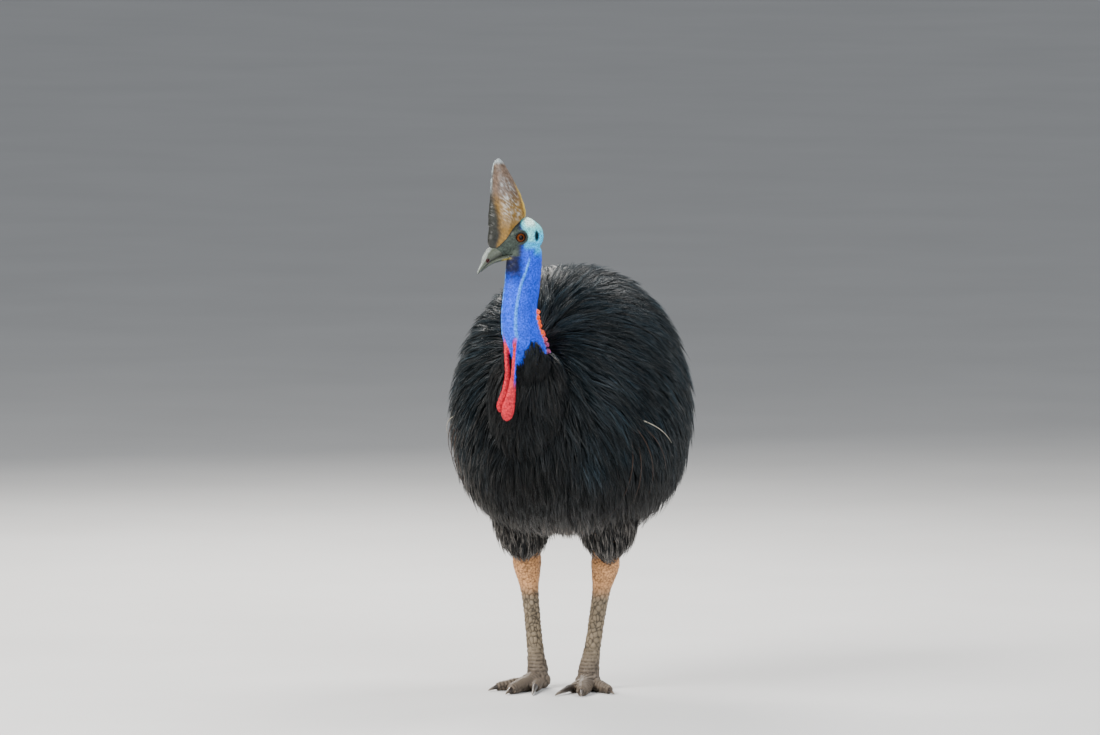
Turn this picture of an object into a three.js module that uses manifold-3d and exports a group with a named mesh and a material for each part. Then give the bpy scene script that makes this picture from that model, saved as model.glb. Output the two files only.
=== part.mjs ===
// A southern cassowary standing at rest, life size, its head turned to its own right.
// Sizes are in millimetres. +X runs to the bird's left, +Y to its rear and +Z up.
// It stands on z = 0. Plumage is built as a core that carries overlapping flat locks.
import * as THREE from "three";
import { mergeVertices } from "three/addons/utils/BufferGeometryUtils.js";
import Module from "manifold-3d";

const wasm = await Module();
wasm.setup();

const { PI, abs, cos, max, min, pow, sign, sin, sqrt } = Math;
const point = (x, y, z) => new THREE.Vector3(x, y, z);
const down = point(0, 0, -1);

// Gap kept between neighbouring pieces.
const gap = 0.4;

// The points of every piece lie on a grid this fine, so that none is all but on another.
const grid = 1 / 128;

// Plumage masses: a core with its own reach in each direction, and how far the coat stands off it.
const torso = { centre: point(8, 20, 690), side: 268, front: 388, rear: 402, up: 369, down: 258, coat: 32 };
const ruff = { centre: point(-5, -325, 778), side: 90, front: 74, rear: 90, up: 126, down: 138, coat: 28 };
const thigh = { centre: point(112, 5, 505), side: 71, front: 93, rear: 99, up: 103, down: 142, coat: 23 };

// The foot of the neck, from which the body feathers stream.
const neckFoot = point(0, -330, 900);

// Head: the middle between the eyes, and how far it is turned to the bird's right.
const headPlace = point(-21, -415, 1190);
const headTurn = THREE.MathUtils.degToRad(-50);
const eye = { side: 21, ahead: -3, radius: 14.5, opening: 12.5, lid: 2.8, lidSide: 33.2 };

// Legs: each joint's distance from the line midway between them, its place front to back, and its
// height. That line lies a little to the bird's right, where stance says.
const stance = -13;
const hock = { side: 104, back: 62, height: 322 };
const ankle = { side: 67, back: 30, height: 40 };
const footTurn = THREE.MathUtils.degToRad(9);
const toes = {
  inner: { turn: -20, reach: 92, girth: 16, claw: 104, clawGirth: 9 },
  middle: { turn: 0, reach: 158, girth: 19, claw: 42, clawGirth: 8 },
  outer: { turn: 31, reach: 118, girth: 16, claw: 36, clawGirth: 7 },
};

// A seeded source of numbers from 0 to 1.
function seeded(seed) {
  let state = seed;
  return () => {
    state = (state * 1664525 + 1013904223) % 4294967296;
    return state / 4294967296;
  };
}

// Solids

// A closed surface with a pole at each end: place(turn, along) gives each point.
function closedSurface(sides, rings, place) {
  const surface = new THREE.SphereGeometry(1, sides, rings);
  const { position, uv } = surface.attributes;
  for (let i = 0; i < position.count; i++) {
    const along = 1 - uv.getY(i);
    const turn = along === 0 || along === 1 ? 0 : uv.getX(i) * 2 * PI;
    const p = place(turn, along);
    position.setXYZ(i, p.x, p.y, p.z);
  }
  return surface;
}

// A three.js geometry as a solid, turned the right way out.
function solidOf(geometry) {
  const bare = new THREE.BufferGeometry();
  bare.setAttribute("position", geometry.getAttribute("position"));
  bare.setIndex(geometry.index);
  const merged = mergeVertices(bare, 1e-3);
  const vertProperties = merged.attributes.position.array;
  const triVerts = new Uint32Array(merged.index.array);
  const made = new wasm.Manifold(new wasm.Mesh({ numProp: 3, vertProperties, triVerts }));
  if (made.volume() > 0) return made;
  for (let i = 0; i < triVerts.length; i += 3) {
    [triVerts[i + 1], triVerts[i + 2]] = [triVerts[i + 2], triVerts[i + 1]];
  }
  return new wasm.Manifold(new wasm.Mesh({ numProp: 3, vertProperties, triVerts }));
}

const joined = (solids) => wasm.Manifold.union(solids);

// The largest closed surface, which drops loose scraps and fills sealed hollows.
function largest(solid) {
  return solid.decompose().reduce((a, b) => (b.volume() > a.volume() ? b : a));
}

// The geometry of a solid, its points snapped to the grid.
function geometryOf(solid) {
  const { vertProperties, triVerts, numProp, numVert } = solid.getMesh();
  const vertices = new Float32Array(numVert * 3);
  for (let i = 0; i < numVert; i++) {
    vertices.set(vertProperties.subarray(i * numProp, i * numProp + 3), i * 3);
  }
  const snapped = vertices.map((value) => Math.round(value / grid) * grid);
  const geometry = new THREE.BufferGeometry();
  geometry.setAttribute("position", new THREE.BufferAttribute(snapped, 3));
  geometry.setIndex(new THREE.BufferAttribute(triVerts, 1));
  return geometry;
}

// One named mesh of the exported group: one closed surface, still one once its points are snapped.
function meshOf(name, solid, colour, roughness = 0.7) {
  let body = largest(solid);
  let merged = solidOf(geometryOf(body));
  while (merged.decompose().length > 1) {
    body = largest(merged);
    merged = solidOf(geometryOf(body));
  }
  const geometry = geometryOf(merged);
  geometry.computeVertexNormals();
  const mesh = new THREE.Mesh(geometry, new THREE.MeshStandardMaterial({ color: colour, roughness }));
  mesh.name = name;
  return mesh;
}

// A body swept along stations of [x, y, z, half width across, half depth along facing].
// Its ends are rounded over the share roundEnds of its length, and swell thickens it all over.
function limb(stations, { facing, sides, rings, roundEnds = 0.2, swell = 0, shape = () => 1 }) {
  const curve = (pick) => new THREE.CatmullRomCurve3(stations.map(pick), false, "catmullrom", 0.5);
  const path = curve((s) => point(s[0], s[1], s[2]));
  const girth = curve((s) => point(s[3], s[4], 0));
  return closedSurface(sides, rings, (turn, along) => {
    const end = max(0, 1 - min(along, 1 - along) / roundEnds);
    const forward = path.getTangent(along);
    const middle = path.getPoint(along).addScaledVector(forward, along < 0.5 ? -end * swell : end * swell);
    if (end === 1) return middle;
    const side = point().crossVectors(forward, facing(along)).normalize();
    const deep = point().crossVectors(side, forward);
    const { x: across, y: depth } = girth.getPoint(along);
    const out = sqrt(1 - end * end) * shape(turn, along);
    return middle
      .addScaledVector(side, (across * out + swell) * cos(turn))
      .addScaledVector(deep, (depth * out + swell) * sin(turn));
  });
}

// Plumage masses

// A rounded mass that reaches a different distance each way from its centre.
function mound({ centre, side, front, rear, up, down: below }, swell = 0) {
  const fullness = 2.12;
  const reach = (d) =>
    point(side + swell, (d.y < 0 ? front : rear) + swell, (d.z < 0 ? below : up) + swell);
  const share = (p) => {
    const d = p.clone().sub(centre).divide(reach(p.clone().sub(centre)));
    return pow(pow(abs(d.x), fullness) + pow(abs(d.y), fullness) + pow(abs(d.z), fullness), 1 / fullness);
  };
  const onto = (p) => p.clone().sub(centre).divideScalar(share(p)).add(centre);
  const normal = (p) => {
    const d = p.clone().sub(centre);
    const r = reach(d);
    const slope = (v, s) => (sign(v) * pow(abs(v) / s, fullness - 1)) / s;
    return point(slope(d.x, r.x), slope(d.y, r.y), slope(d.z, r.z)).normalize();
  };
  const towards = (direction) => onto(direction.clone().multiply(reach(direction)).add(centre));
  const geometry = (sides, rings) =>
    closedSurface(sides, rings, (turn, along) =>
      towards(point(sin(along * PI) * cos(turn), sin(along * PI) * sin(turn), cos(along * PI))),
    );
  return { share, onto, normal, towards, geometry };
}

// A flat, tapered lock: rooted in the mass, lying along the flow and rising to the coat's depth.
function lock(mass, root, flow, { long, wide, thick, lift, sink, rings }) {
  const steps = 12;
  const spine = [];
  let place = mass.onto(root);
  let heading = null;
  for (let i = 0; i <= steps; i++) {
    const normal = mass.normal(place);
    const lie = flow(place);
    lie.addScaledVector(normal, -lie.dot(normal)).normalize();
    heading = heading ? heading.lerp(lie, 0.5).normalize() : lie;
    const t = i / steps;
    const height = -sink + (lift + sink) * pow(t, 0.75);
    spine.push({ middle: place.clone().addScaledVector(normal, height), heading: heading.clone(), normal });
    const next = place.clone().addScaledVector(heading, long / steps);
    const hangs = mass.normal(next).z < -0.3 && mass.share(next) > 1;
    if (hangs) heading.addScaledVector(down, 0.35).normalize();
    place = hangs ? next : mass.onto(next);
  }
  return closedSurface(3, rings, (turn, along) => {
    const at = spine[Math.round(along * steps)];
    const side = point().crossVectors(at.heading, at.normal).normalize();
    const halfWidth = (wide / 2) * pow(sin(PI * min(1, 0.12 + 0.88 * along)), 0.7);
    const halfThick = (thick / 2) * (1 - 0.7 * along);
    const ends = along === 0 || along === 1 ? 0 : 1;
    return at.middle
      .clone()
      .addScaledVector(side, -ends * halfWidth * sin(turn))
      .addScaledVector(at.normal, ends * halfThick * cos(turn));
  });
}

// Locks spread evenly over a mass by the golden angle, except where skip says so.
function coat(mass, count, flow, sizes, seed, skip) {
  const random = seeded(seed);
  const golden = PI * (3 - sqrt(5));
  const locks = [];
  for (let i = 0; i < count; i++) {
    const z = 1 - (2 * (i + 0.5)) / count;
    const ring = sqrt(1 - z * z);
    const root = mass.towards(point(ring * cos(golden * i), ring * sin(golden * i), z));
    const vary = 0.9 + 0.2 * random();
    const made = sizes(root);
    if (skip(root)) continue;
    locks.push(solidOf(lock(mass, root, flow, { ...made, long: made.long * vary, wide: made.wide * vary })));
  }
  return locks;
}

const torsoCore = mound(torso);
const torsoCoreSolid = solidOf(torsoCore.geometry(20, 14));
const ruffRoom = (swell) => solidOf(mound(ruff, ruff.coat + swell).geometry(16, 10));

function thighOn(side) {
  return { ...thigh, centre: point(side * thigh.centre.x, thigh.centre.y, thigh.centre.z) };
}
const thighRoom = (side, swell) => solidOf(mound(thighOn(side), thigh.coat + swell).geometry(14, 10));

// How far back a point of the body is, from 0 at the breast to 1 at the rump.
const rearward = (p) => THREE.MathUtils.clamp((p.y + 300) / 650, 0, 1);

// Body feathers stream from the foot of the neck, and droop the more the further back they grow.
function bodyFlow(p) {
  const away = p.clone().sub(neckFoot).normalize();
  return away.add(point(0, 0.35, -0.75 - 1.1 * rearward(p) ** 2));
}

// Head, bill and casque, in the head's own frame: it looks along -Y.

const upward = () => point(0, 0, 1);
const billStations = [
  [0, -16, -22, 18, 14],
  [0, -44, -33, 16, 16],
  [0, -62, -42, 13, 17],
  [0, -76, -53, 10, 13],
  [0, -85, -67, 6.5, 8],
  [0, -94, -78, 4, 5],
  [0, -100, -86, 2.5, 3],
  [0, -102, -91, 1.5, 1.5],
];
const lowerBillStations = [
  [0, -6, -46, 16, 8],
  [0, -38, -53, 14, 7.5],
  [0, -58, -59, 10.5, 6],
  [0, -74, -68, 6.5, 4.5],
  [0, -86, -78, 3.5, 3],
  [0, -94, -85, 2, 2],
];
const headStations = [
  [0, 77, -13, 15, 17],
  [0, 65, -9, 25, 29],
  [0, 48, -3, 31, 40],
  [0, 26, 1, 34, 49],
  [0, 0, -3, 34, 45],
  [0, -26, -17, 25, 33],
  [0, -46, -31, 18, 21],
  [0, -60, -40, 12, 14],
];
const casqueStations = [
  [0, -46, -40, 10, 20],
  [0, -42, -13, 19, 34],
  [0, -27, 16, 26, 46],
  [0, -20, 54, 25, 51],
  [0, -24, 92, 21, 45],
  [0, -31, 124, 17, 36],
  [0, -38, 154, 12.5, 27],
  [0, -44, 182, 8, 16],
  [0, -45, 199, 4, 9],
];

const skull = (swell) => solidOf(limb(headStations, { facing: upward, sides: 14, rings: 12, swell }));
const upperBill = (swell) =>
  solidOf(limb(billStations, { facing: upward, sides: 10, rings: 9, roundEnds: 0.1, swell }));
const lowerBill = () => solidOf(limb(lowerBillStations, { facing: upward, sides: 8, rings: 7, roundEnds: 0.12 }));
const eyeball = (side, swell) => {
  const ball = new THREE.SphereGeometry(eye.radius + swell, 12, 8);
  return solidOf(ball.translate(side * eye.side, -eye.ahead, 0));
};

// The ring of lids round an eye, and the brow that shades it.
function lids(side) {
  const ring = new THREE.TorusGeometry(eye.opening, eye.lid, 4, 12).scale(0.84, 1, 1);
  return solidOf(ring.rotateY(side * (PI / 2 + 0.06)).translate(side * eye.lidSide, -eye.ahead, 0));
}
function brow(side) {
  const arc = [
    [side * 25, -22, 0, 3, 3],
    [side * 31, -12, 13, 4, 5],
    [side * 31, 4, 17, 4, 5],
    [side * 33, 17, 10, 3, 3],
  ];
  return solidOf(limb(arc, { facing: upward, sides: 5, rings: 5, roundEnds: 0.3 }));
}
// The gape that carries the line of the mouth back from the bill, cut into the skin.
function gape(side) {
  const line = [
    [side * 11, -54, -52, 3, 1.3],
    [side * 14.5, -32, -46, 3, 1.5],
    [side * 19.5, -8, -40, 3.5, 1.5],
    [side * 24.5, 10, -34, 2.5, 1.1],
  ];
  return solidOf(limb(line, { facing: upward, sides: 4, rings: 5, roundEnds: 0.2 }));
}
function earHole(side) {
  const hole = new THREE.SphereGeometry(1, 8, 6).scale(7, 4, 8.5);
  return solidOf(hole.translate(side * 29, 48, 3));
}
function nostril(side) {
  const slit = new THREE.SphereGeometry(1, 8, 6).scale(3, 6, 2.4).rotateX(0.85);
  return solidOf(slit.translate(side * 9, -78, -57));
}

const bothSides = (make) => [make(1), make(-1)];

function headPieces(neckInHead) {
  const head = joined([skull(0), ...bothSides(lids), ...bothSides(brow)])
    .subtract(joined([...bothSides((s) => eyeball(s, gap)), ...bothSides(gape), ...bothSides(earHole)]));
  const bill = upperBill(0).subtract(joined([skull(gap), ...bothSides(nostril)]));
  const jaw = lowerBill().subtract(joined([skull(gap), upperBill(2 * gap), neckInHead]));
  const narrowBack = (turn) => 1 - 0.18 * max(0, -sin(turn)) * abs(cos(turn));
  const casque = solidOf(
    limb(casqueStations, { facing: () => point(0, -1, 0), sides: 14, rings: 12, roundEnds: 0.12, shape: narrowBack }),
  ).subtract(joined([skull(gap), upperBill(gap), ...bothSides(lids), ...bothSides(brow)]));
  const group = new THREE.Group();
  group.add(
    meshOf("head", head, "#2f8fc4", 0.6),
    meshOf("casque", casque, "#7d684e", 0.5),
    meshOf("upper_bill", bill, "#5d6158", 0.4),
    meshOf("lower_bill", jaw, "#5a5a50", 0.4),
    meshOf("eye_left", eyeball(1, 0), "#6b3a1c", 0.1),
    meshOf("eye_right", eyeball(-1, 0), "#6b3a1c", 0.1),
  );
  group.position.copy(headPlace);
  group.rotation.z = headTurn;
  return group;
}

// A solid of the head's frame, placed in the bird's.
function placedByHead(solid) {
  return solid.rotate([0, 0, THREE.MathUtils.radToDeg(headTurn)]).translate(headPlace.toArray());
}

// Neck, throat folds and nape caruncles

// Each station ends with the way its throat faces, in degrees turned to the bird's right.
const neckStations = [
  [4, -400, 1184, 30, 43, 48],
  [1, -403, 1130, 34, 47.5, 46],
  [-1, -404, 1087, 33.5, 47.5, 40],
  [-5, -405, 1043, 35, 48, 34],
  [-12, -401, 986, 39, 47, 28],
  [-7, -390, 932, 44, 52, 18],
  [0, -366, 885, 47, 52, 8],
  [0, -345, 845, 36, 40, 0],
];
const throatTurn = new THREE.CatmullRomCurve3(
  neckStations.map((s) => point(s[5], 0, 0)), false, "catmullrom", 0.5,
);
function throatFacing(t) {
  const turn = THREE.MathUtils.degToRad(throatTurn.getPoint(t).x);
  return point(-sin(turn), -cos(turn), 0);
}

const neckTube = (swell) => limb(neckStations, { facing: throatFacing, sides: 14, rings: 13, roundEnds: 0.08, swell });

// The point on the neck's skin at a turn round it and a share of the way down it.
function onNeck(turn, along) {
  const path = new THREE.CatmullRomCurve3(
    neckStations.map((s) => point(s[0], s[1], s[2])), false, "catmullrom", 0.5,
  );
  const girth = new THREE.CatmullRomCurve3(
    neckStations.map((s) => point(s[3], s[4], 0)), false, "catmullrom", 0.5,
  );
  const forward = path.getTangent(along);
  const side = point().crossVectors(forward, throatFacing(along)).normalize();
  const deep = point().crossVectors(side, forward);
  const { x: across, y: depth } = girth.getPoint(along);
  return path
    .getPoint(along)
    .addScaledVector(side, across * cos(turn))
    .addScaledVector(deep, depth * sin(turn));
}

// Two folds of throat skin run down into the wattles.
const foldTurn = { left: PI / 2 + 0.62, right: PI / 2 - 0.62 };
function throatFold(turn, swell) {
  const stations = [0.34, 0.46, 0.58, 0.7, 0.8].map((along, i) => {
    const p = onNeck(turn, along);
    const girth = 4 + 0.9 * i;
    return [p.x, p.y, p.z, girth, girth];
  });
  return solidOf(limb(stations, { facing: throatFacing, sides: 5, rings: 6, roundEnds: 0.25, swell }));
}

// Rows of soft bulbs on the nape, larger towards the back.
function napeBulbs(swell) {
  const bulbs = [];
  for (let row = 0; row < 6; row++) {
    for (const column of [-1, 1]) {
      const turn = -PI / 2 + column * (0.2 + 0.03 * row);
      const p = onNeck(turn, 0.57 + 0.052 * row + 0.012 * column);
      const bulb = new THREE.SphereGeometry(7.5 + 0.5 * row + swell, 5, 4);
      bulbs.push(solidOf(bulb.translate(p.x, p.y, p.z)));
    }
  }
  return bulbs;
}

function neckSolid(swell) {
  return joined([
    solidOf(neckTube(swell)),
    throatFold(foldTurn.left, swell),
    throatFold(foldTurn.right, swell),
    ...napeBulbs(swell),
  ]);
}

// Wattles: two long flat lobes that hang side by side from the throat folds.
const wattleStations = {
  left: [
    [-8, -432, 952, 5, 5],
    [-11, -441, 916, 5.5, 5],
    [-12, -450, 876, 6, 5],
    [-14, -455, 832, 7.5, 6],
    [-19, -458, 790, 12.5, 8],
    [-26, -459, 755, 16, 9.5],
    [-31, -458, 727, 14, 8],
  ],
  right: [
    [-45, -414, 952, 5, 5],
    [-41, -424, 914, 5.5, 5.5],
    [-36, -431, 876, 6, 6],
    [-34, -435, 838, 7, 6.5],
    [-40, -437, 796, 10, 8],
    [-49, -437, 768, 11.5, 8.5],
    [-53, -436, 746, 9.5, 7],
  ],
};
function wattle(side, swell) {
  const facing = () => point(0.34, -0.94, 0);
  return solidOf(limb(wattleStations[side], { facing, sides: 8, rings: 11, roundEnds: 0.14, swell }));
}

// Wings: a small hidden stub in each flank with bare quills that lie over the coat.
const wing = { root: point(0.78, -0.62, 0.1), quills: 5, long: 225, girth: 2.8 };
function quillPath(side, index) {
  const spread = index / (wing.quills - 1);
  const heights = [-4, 14, 26, 32, 34, 34];
  let place = torsoCore.towards(wing.root.clone().multiply(point(side, 1, 1)));
  return heights.map((height, step) => {
    const normal = torsoCore.normal(place);
    const laid = place.clone().addScaledVector(normal, height);
    const way = point(0, 1 - 0.95 * spread, -0.35 - 0.65 * spread - 0.06 * step);
    way.addScaledVector(normal, -way.dot(normal)).normalize();
    place = torsoCore.onto(place.clone().addScaledVector(way, (wing.long * (1 + 0.2 * spread)) / 5));
    return laid;
  });
}
function wingSolid(side, swell) {
  const start = torsoCore.towards(wing.root.clone().multiply(point(side, 1, 1)));
  const normal = torsoCore.normal(start);
  const stub = new THREE.SphereGeometry(1, 10, 6)
    .scale(8 + swell, 22 + swell, 13 + swell)
    .rotateZ(Math.atan2(normal.y, normal.x))
    .translate(start.x, start.y, start.z);
  const quills = [];
  for (let i = 0; i < wing.quills; i++) {
    const places = quillPath(side, i);
    const stations = places.map((p, j) => {
      const girth = wing.girth * (1 - (0.62 * j) / (places.length - 1));
      return [p.x, p.y, p.z, girth, girth];
    });
    quills.push(solidOf(limb(stations, { facing: () => normal, sides: 4, rings: 7, roundEnds: 0.05, swell })));
  }
  return joined([solidOf(stub), ...quills]);
}

// Legs, feet and claws

// The bare shank from above the hock down into the foot.
function shank(side, swell) {
  const between = (share, across, deep) => [
    stance + side * (ankle.side + (hock.side - ankle.side) * share),
    ankle.back + (hock.back - ankle.back) * share,
    ankle.height + (hock.height - ankle.height) * share,
    across,
    deep,
  ];
  const stations = [
    [stance + side * (hock.side + 3), hock.back - 34, hock.height + 118, 27, 30],
    [stance + side * (hock.side + 2), hock.back - 18, hock.height + 62, 29, 33],
    [stance + side * hock.side, hock.back - 2, hock.height + 24, 34, 38],
    between(0.98, 36, 42),
    between(0.87, 30, 35),
    between(0.72, 22, 28),
    between(0.45, 20, 26),
    between(0.2, 21, 26),
    between(0.02, 27, 29),
    [stance + side * ankle.side, ankle.back - 3, 16, 27, 28],
  ];
  return limb(stations, { facing: () => point(0, -1, 0.15), sides: 12, rings: 15, roundEnds: 0.07, swell });
}

const floorSlab = solidOf(new THREE.BoxGeometry(2000, 2000, 200).translate(0, 0, -100));

// A toe's path in the foot's frame, from the ankle to the root of its claw.
function toeWay(side, toe) {
  const turn = THREE.MathUtils.degToRad(toe.turn) + footTurn;
  return point(side * sin(turn), -cos(turn), 0);
}
function toeSolid(side, toe, swell) {
  const way = toeWay(side, toe);
  const at = (share, height, girth) => [
    stance + side * ankle.side + way.x * toe.reach * share,
    ankle.back + way.y * toe.reach * share,
    height,
    girth,
    girth,
  ];
  const { girth } = toe;
  const stations = [
    at(-0.05, 26, girth * 1.1),
    at(0.2, 22, girth * 1.15),
    at(0.42, girth * 0.92, girth * 0.98),
    at(0.6, girth * 0.86, girth),
    at(0.8, girth * 0.76, girth * 0.86),
    at(1, girth * 0.68, girth * 0.74),
    at(1.08, girth * 0.62, girth * 0.6),
  ];
  return solidOf(limb(stations, { facing: upward, sides: 8, rings: 9, roundEnds: 0.1, swell }));
}
function clawSolid(side, toe) {
  const way = toeWay(side, toe);
  const root = toe.clawGirth;
  const at = (share, height, girth) => [
    stance + side * ankle.side + way.x * (toe.reach + toe.claw * share),
    ankle.back + way.y * (toe.reach + toe.claw * share),
    height,
    girth * 0.8,
    girth,
  ];
  const stations = [
    at(-0.06, root * 1.35, root),
    at(0.2, root * 1.5, root),
    at(0.5, root * 1.2, root * 0.72),
    at(0.8, root * 0.78, root * 0.42),
    at(1, root * 0.34, root * 0.16),
  ];
  return solidOf(limb(stations, { facing: upward, sides: 6, rings: 7, roundEnds: 0.1 })).subtract(floorSlab);
}
function footSolid(side, swell) {
  const pad = new THREE.SphereGeometry(1, 12, 6).scale(34 + swell, 34 + swell, 24 + swell);
  const heel = solidOf(pad.translate(stance + side * ankle.side, ankle.back - 2, 20));
  const all = Object.values(toes).map((toe) => toeSolid(side, toe, swell));
  return joined([heel, ...all]).subtract(floorSlab);
}

// The whole bird

const bird = new THREE.Group();
const neckWide = neckSolid(gap);
const skullInBird = placedByHead(skull(gap));
const inverseHead = neckWide.translate(headPlace.clone().negate().toArray())
  .rotate([0, 0, -THREE.MathUtils.radToDeg(headTurn)]);
bird.add(headPieces(inverseHead));
bird.add(meshOf("neck", neckSolid(0).subtract(skullInBird), "#2656c8", 0.6));

const wattlesWide = joined([wattle("left", 2 * gap), wattle("right", 2 * gap)]);
for (const side of ["left", "right"]) {
  bird.add(meshOf(`wattle_${side}`, wattle(side, 0).subtract(neckWide), "#c23a44", 0.6));
}

const plumage = "#14181c";
const ruffFlow = (p) => point(p.x - ruff.centre.x, (p.y - ruff.centre.y) * 0.6, -130);
const ruffSizes = () => ({ long: 118, wide: 52, thick: 18, lift: ruff.coat - 4, sink: 9, rings: 4 });
const ruffLocks = coat(
  mound(ruff), 26, ruffFlow, ruffSizes, 11,
  (p) => p.y > ruff.centre.y + 45 || p.z > ruff.centre.z + 100,
);
const ruffSolid = joined([solidOf(mound(ruff).geometry(12, 8)), ...ruffLocks])
  .add(ruffRoom(0).intersect(torsoCoreSolid))
  .intersect(ruffRoom(0))
  .subtract(joined([neckWide, wattlesWide]));
bird.add(meshOf("neck_ruff", ruffSolid, plumage, 0.8));

const thighSizes = () => ({ long: 116, wide: 72, thick: 13, lift: thigh.coat - 3, sink: 9, rings: 4 });
const thighFlow = () => point(0, 0.22, -1);
const shanksWide = bothSides((side) => solidOf(shank(side, gap)));
for (const [name, side] of [["left", 1], ["right", -1]]) {
  const size = thighOn(side);
  const locks = coat(
    mound(size), 22, thighFlow, thighSizes, 23 + side,
    (p) => p.z > size.centre.z + 20 || p.z < size.centre.z - 128,
  );
  const solid = joined([solidOf(mound(size).geometry(12, 8)), ...locks])
    .add(thighRoom(side, 0).intersect(torsoCoreSolid))
    .intersect(thighRoom(side, 0))
    .subtract(shanksWide[side > 0 ? 0 : 1]);
  bird.add(meshOf(`thigh_${name}`, solid, plumage, 0.8));
  const bareShank = solidOf(shank(side, 0)).subtract(footSolid(side, gap).add(floorSlab));
  bird.add(meshOf(`shank_${name}`, bareShank, "#8a6f57", 0.75));
  bird.add(meshOf(`foot_${name}`, footSolid(side, 0), "#5c5048", 0.8));
  for (const [toeName, toe] of Object.entries(toes)) {
    const claw = clawSolid(side, toe).subtract(toeSolid(side, toe, gap));
    bird.add(meshOf(`claw_${toeName}_${name}`, claw, "#2c2723", 0.4));
  }
  bird.add(meshOf(`wing_${name}`, wingSolid(side, 0), "#1d1a18", 0.5));
}

// Longer locks towards the rump, shorter ones on the breast.
const torsoSizes = (p) => {
  const back = rearward(p);
  return {
    long: 150 + 95 * back,
    wide: 116,
    thick: 20,
    lift: torso.coat - 2 + 22 * back * back,
    sink: 12,
    rings: 4,
  };
};
const inRoom = (p, size, margin) => mound(size, size.coat + margin).share(p) < 1;
const flowLeaves = (p) => abs(torsoCore.normal(p).dot(bodyFlow(p).normalize())) > 0.9;
const torsoLocks = coat(
  torsoCore, 80, bodyFlow, torsoSizes, 1,
  (p) =>
    inRoom(p, ruff, -10) || inRoom(p, thighOn(1), -12) || inRoom(p, thighOn(-1), -12) || flowLeaves(p),
);
const torsoSolid = joined([torsoCoreSolid, ...torsoLocks]).subtract(
  joined([
    ruffRoom(gap), thighRoom(1, gap), thighRoom(-1, gap), neckWide,
    wingSolid(1, 2 * gap), wingSolid(-1, 2 * gap), ...shanksWide,
  ]),
);
bird.add(meshOf("torso", torsoSolid, plumage, 0.8));

// The origin goes on the floor under the middle of the whole bird.
const middle = new THREE.Box3().setFromObject(bird).getCenter(point());
bird.position.set(0, -Math.round(middle.y), 0);
const model = new THREE.Group();
model.add(bird);

export default model;
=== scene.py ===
"""A southern cassowary standing at rest, its head turned to its own right.

Shapes are worked out in the bird's own frame, in millimetres: +X to its left, +Y to its
rear and +Z up from the floor. placed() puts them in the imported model's frame, in metres.
"""

import math

import bmesh
import bpy
import numpy as np
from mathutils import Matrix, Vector, noise


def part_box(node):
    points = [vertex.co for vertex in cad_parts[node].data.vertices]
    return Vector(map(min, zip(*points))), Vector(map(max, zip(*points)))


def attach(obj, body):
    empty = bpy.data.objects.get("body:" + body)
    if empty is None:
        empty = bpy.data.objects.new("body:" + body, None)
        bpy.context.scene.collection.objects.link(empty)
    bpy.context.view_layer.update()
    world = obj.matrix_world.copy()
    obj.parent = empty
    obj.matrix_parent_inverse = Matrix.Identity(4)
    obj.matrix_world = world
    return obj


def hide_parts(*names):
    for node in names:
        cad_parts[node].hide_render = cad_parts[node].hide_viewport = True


bl_info = {
    "name": "Cassowary",
    "version": (1, 0, 0),
    "blender": (4, 5, 0),
    "location": "View3D > Sidebar > Cassowary",
    "description": "Models a standing cassowary: skin, horn, eyes, claws, quills and coat",
    "category": "Object",
}

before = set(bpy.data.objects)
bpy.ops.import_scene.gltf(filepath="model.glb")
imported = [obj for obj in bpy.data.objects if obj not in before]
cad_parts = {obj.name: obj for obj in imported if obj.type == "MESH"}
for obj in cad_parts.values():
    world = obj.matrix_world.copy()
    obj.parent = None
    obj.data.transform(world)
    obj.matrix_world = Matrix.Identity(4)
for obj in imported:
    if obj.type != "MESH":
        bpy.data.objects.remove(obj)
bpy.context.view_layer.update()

MM = 0.001
FORWARD, UP = (0, -1, 0), (0, 0, 1)
SIDES = {"left": 1, "right": -1}

# Where the head is, how far it is turned, and where its eyes are in its own frame.
HEAD_PLACE = np.array([-21.0, -415.0, 1190.0])
HEAD_TURN = math.radians(-50)
EYE = {"side": 18.5, "ahead": -3.0, "radius": 17.0, "clearance": 0.25}

# The ring of lids: how far out it lies, its radius and girth, and its stretch along the head
# and upwards; and the cut that opens them.
LIDS = {"out": 33.4, "radius": 14.4, "girth": 2.4, "long": 1.05, "high": 0.84}
LID_CUT = {"out": 46, "radii": (24, 16.5, 13.5)}

# Plumage masses: a skin with its own reach each way, and how far the coat stands off it.
TORSO = {"centre": (8, 20, 690), "side": 268, "front": 388, "rear": 402, "up": 369, "down": 258, "coat": 32}
RUFF = {"centre": (-5, -325, 778), "side": 90, "front": 74, "rear": 90, "up": 126, "down": 138, "coat": 28}
COLLAR = {
    "centre": (-2, -350, 850), "side": 54, "front": 60, "rear": 54, "up": 120, "down": 90, "coat": 18,
    "lean": 0.5,
}
THIGH = {"centre": (112, 5, 505), "side": 71, "front": 93, "rear": 99, "up": 103, "down": 142, "coat": 23}

# Where the body's feathers spread from, and the seed of each coat's random draws.
NECK_FOOT = np.array([0.0, -330.0, 900.0])
SEEDS = {"torso": 7, "ruff": 21, "collar": 27, "thigh": 33}

# Height at which the neck's feathers begin, by degrees round it from the throat, and how many
# degrees the throat is turned to the bird's right there.
HAIRLINE = {0: 864, 12: 882, 24: 895, 30: 911, 47: 925, 70: 931, 87: 922, 102: 905, 117: 896, 180: 884}
THROAT_TURN = 12

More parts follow.
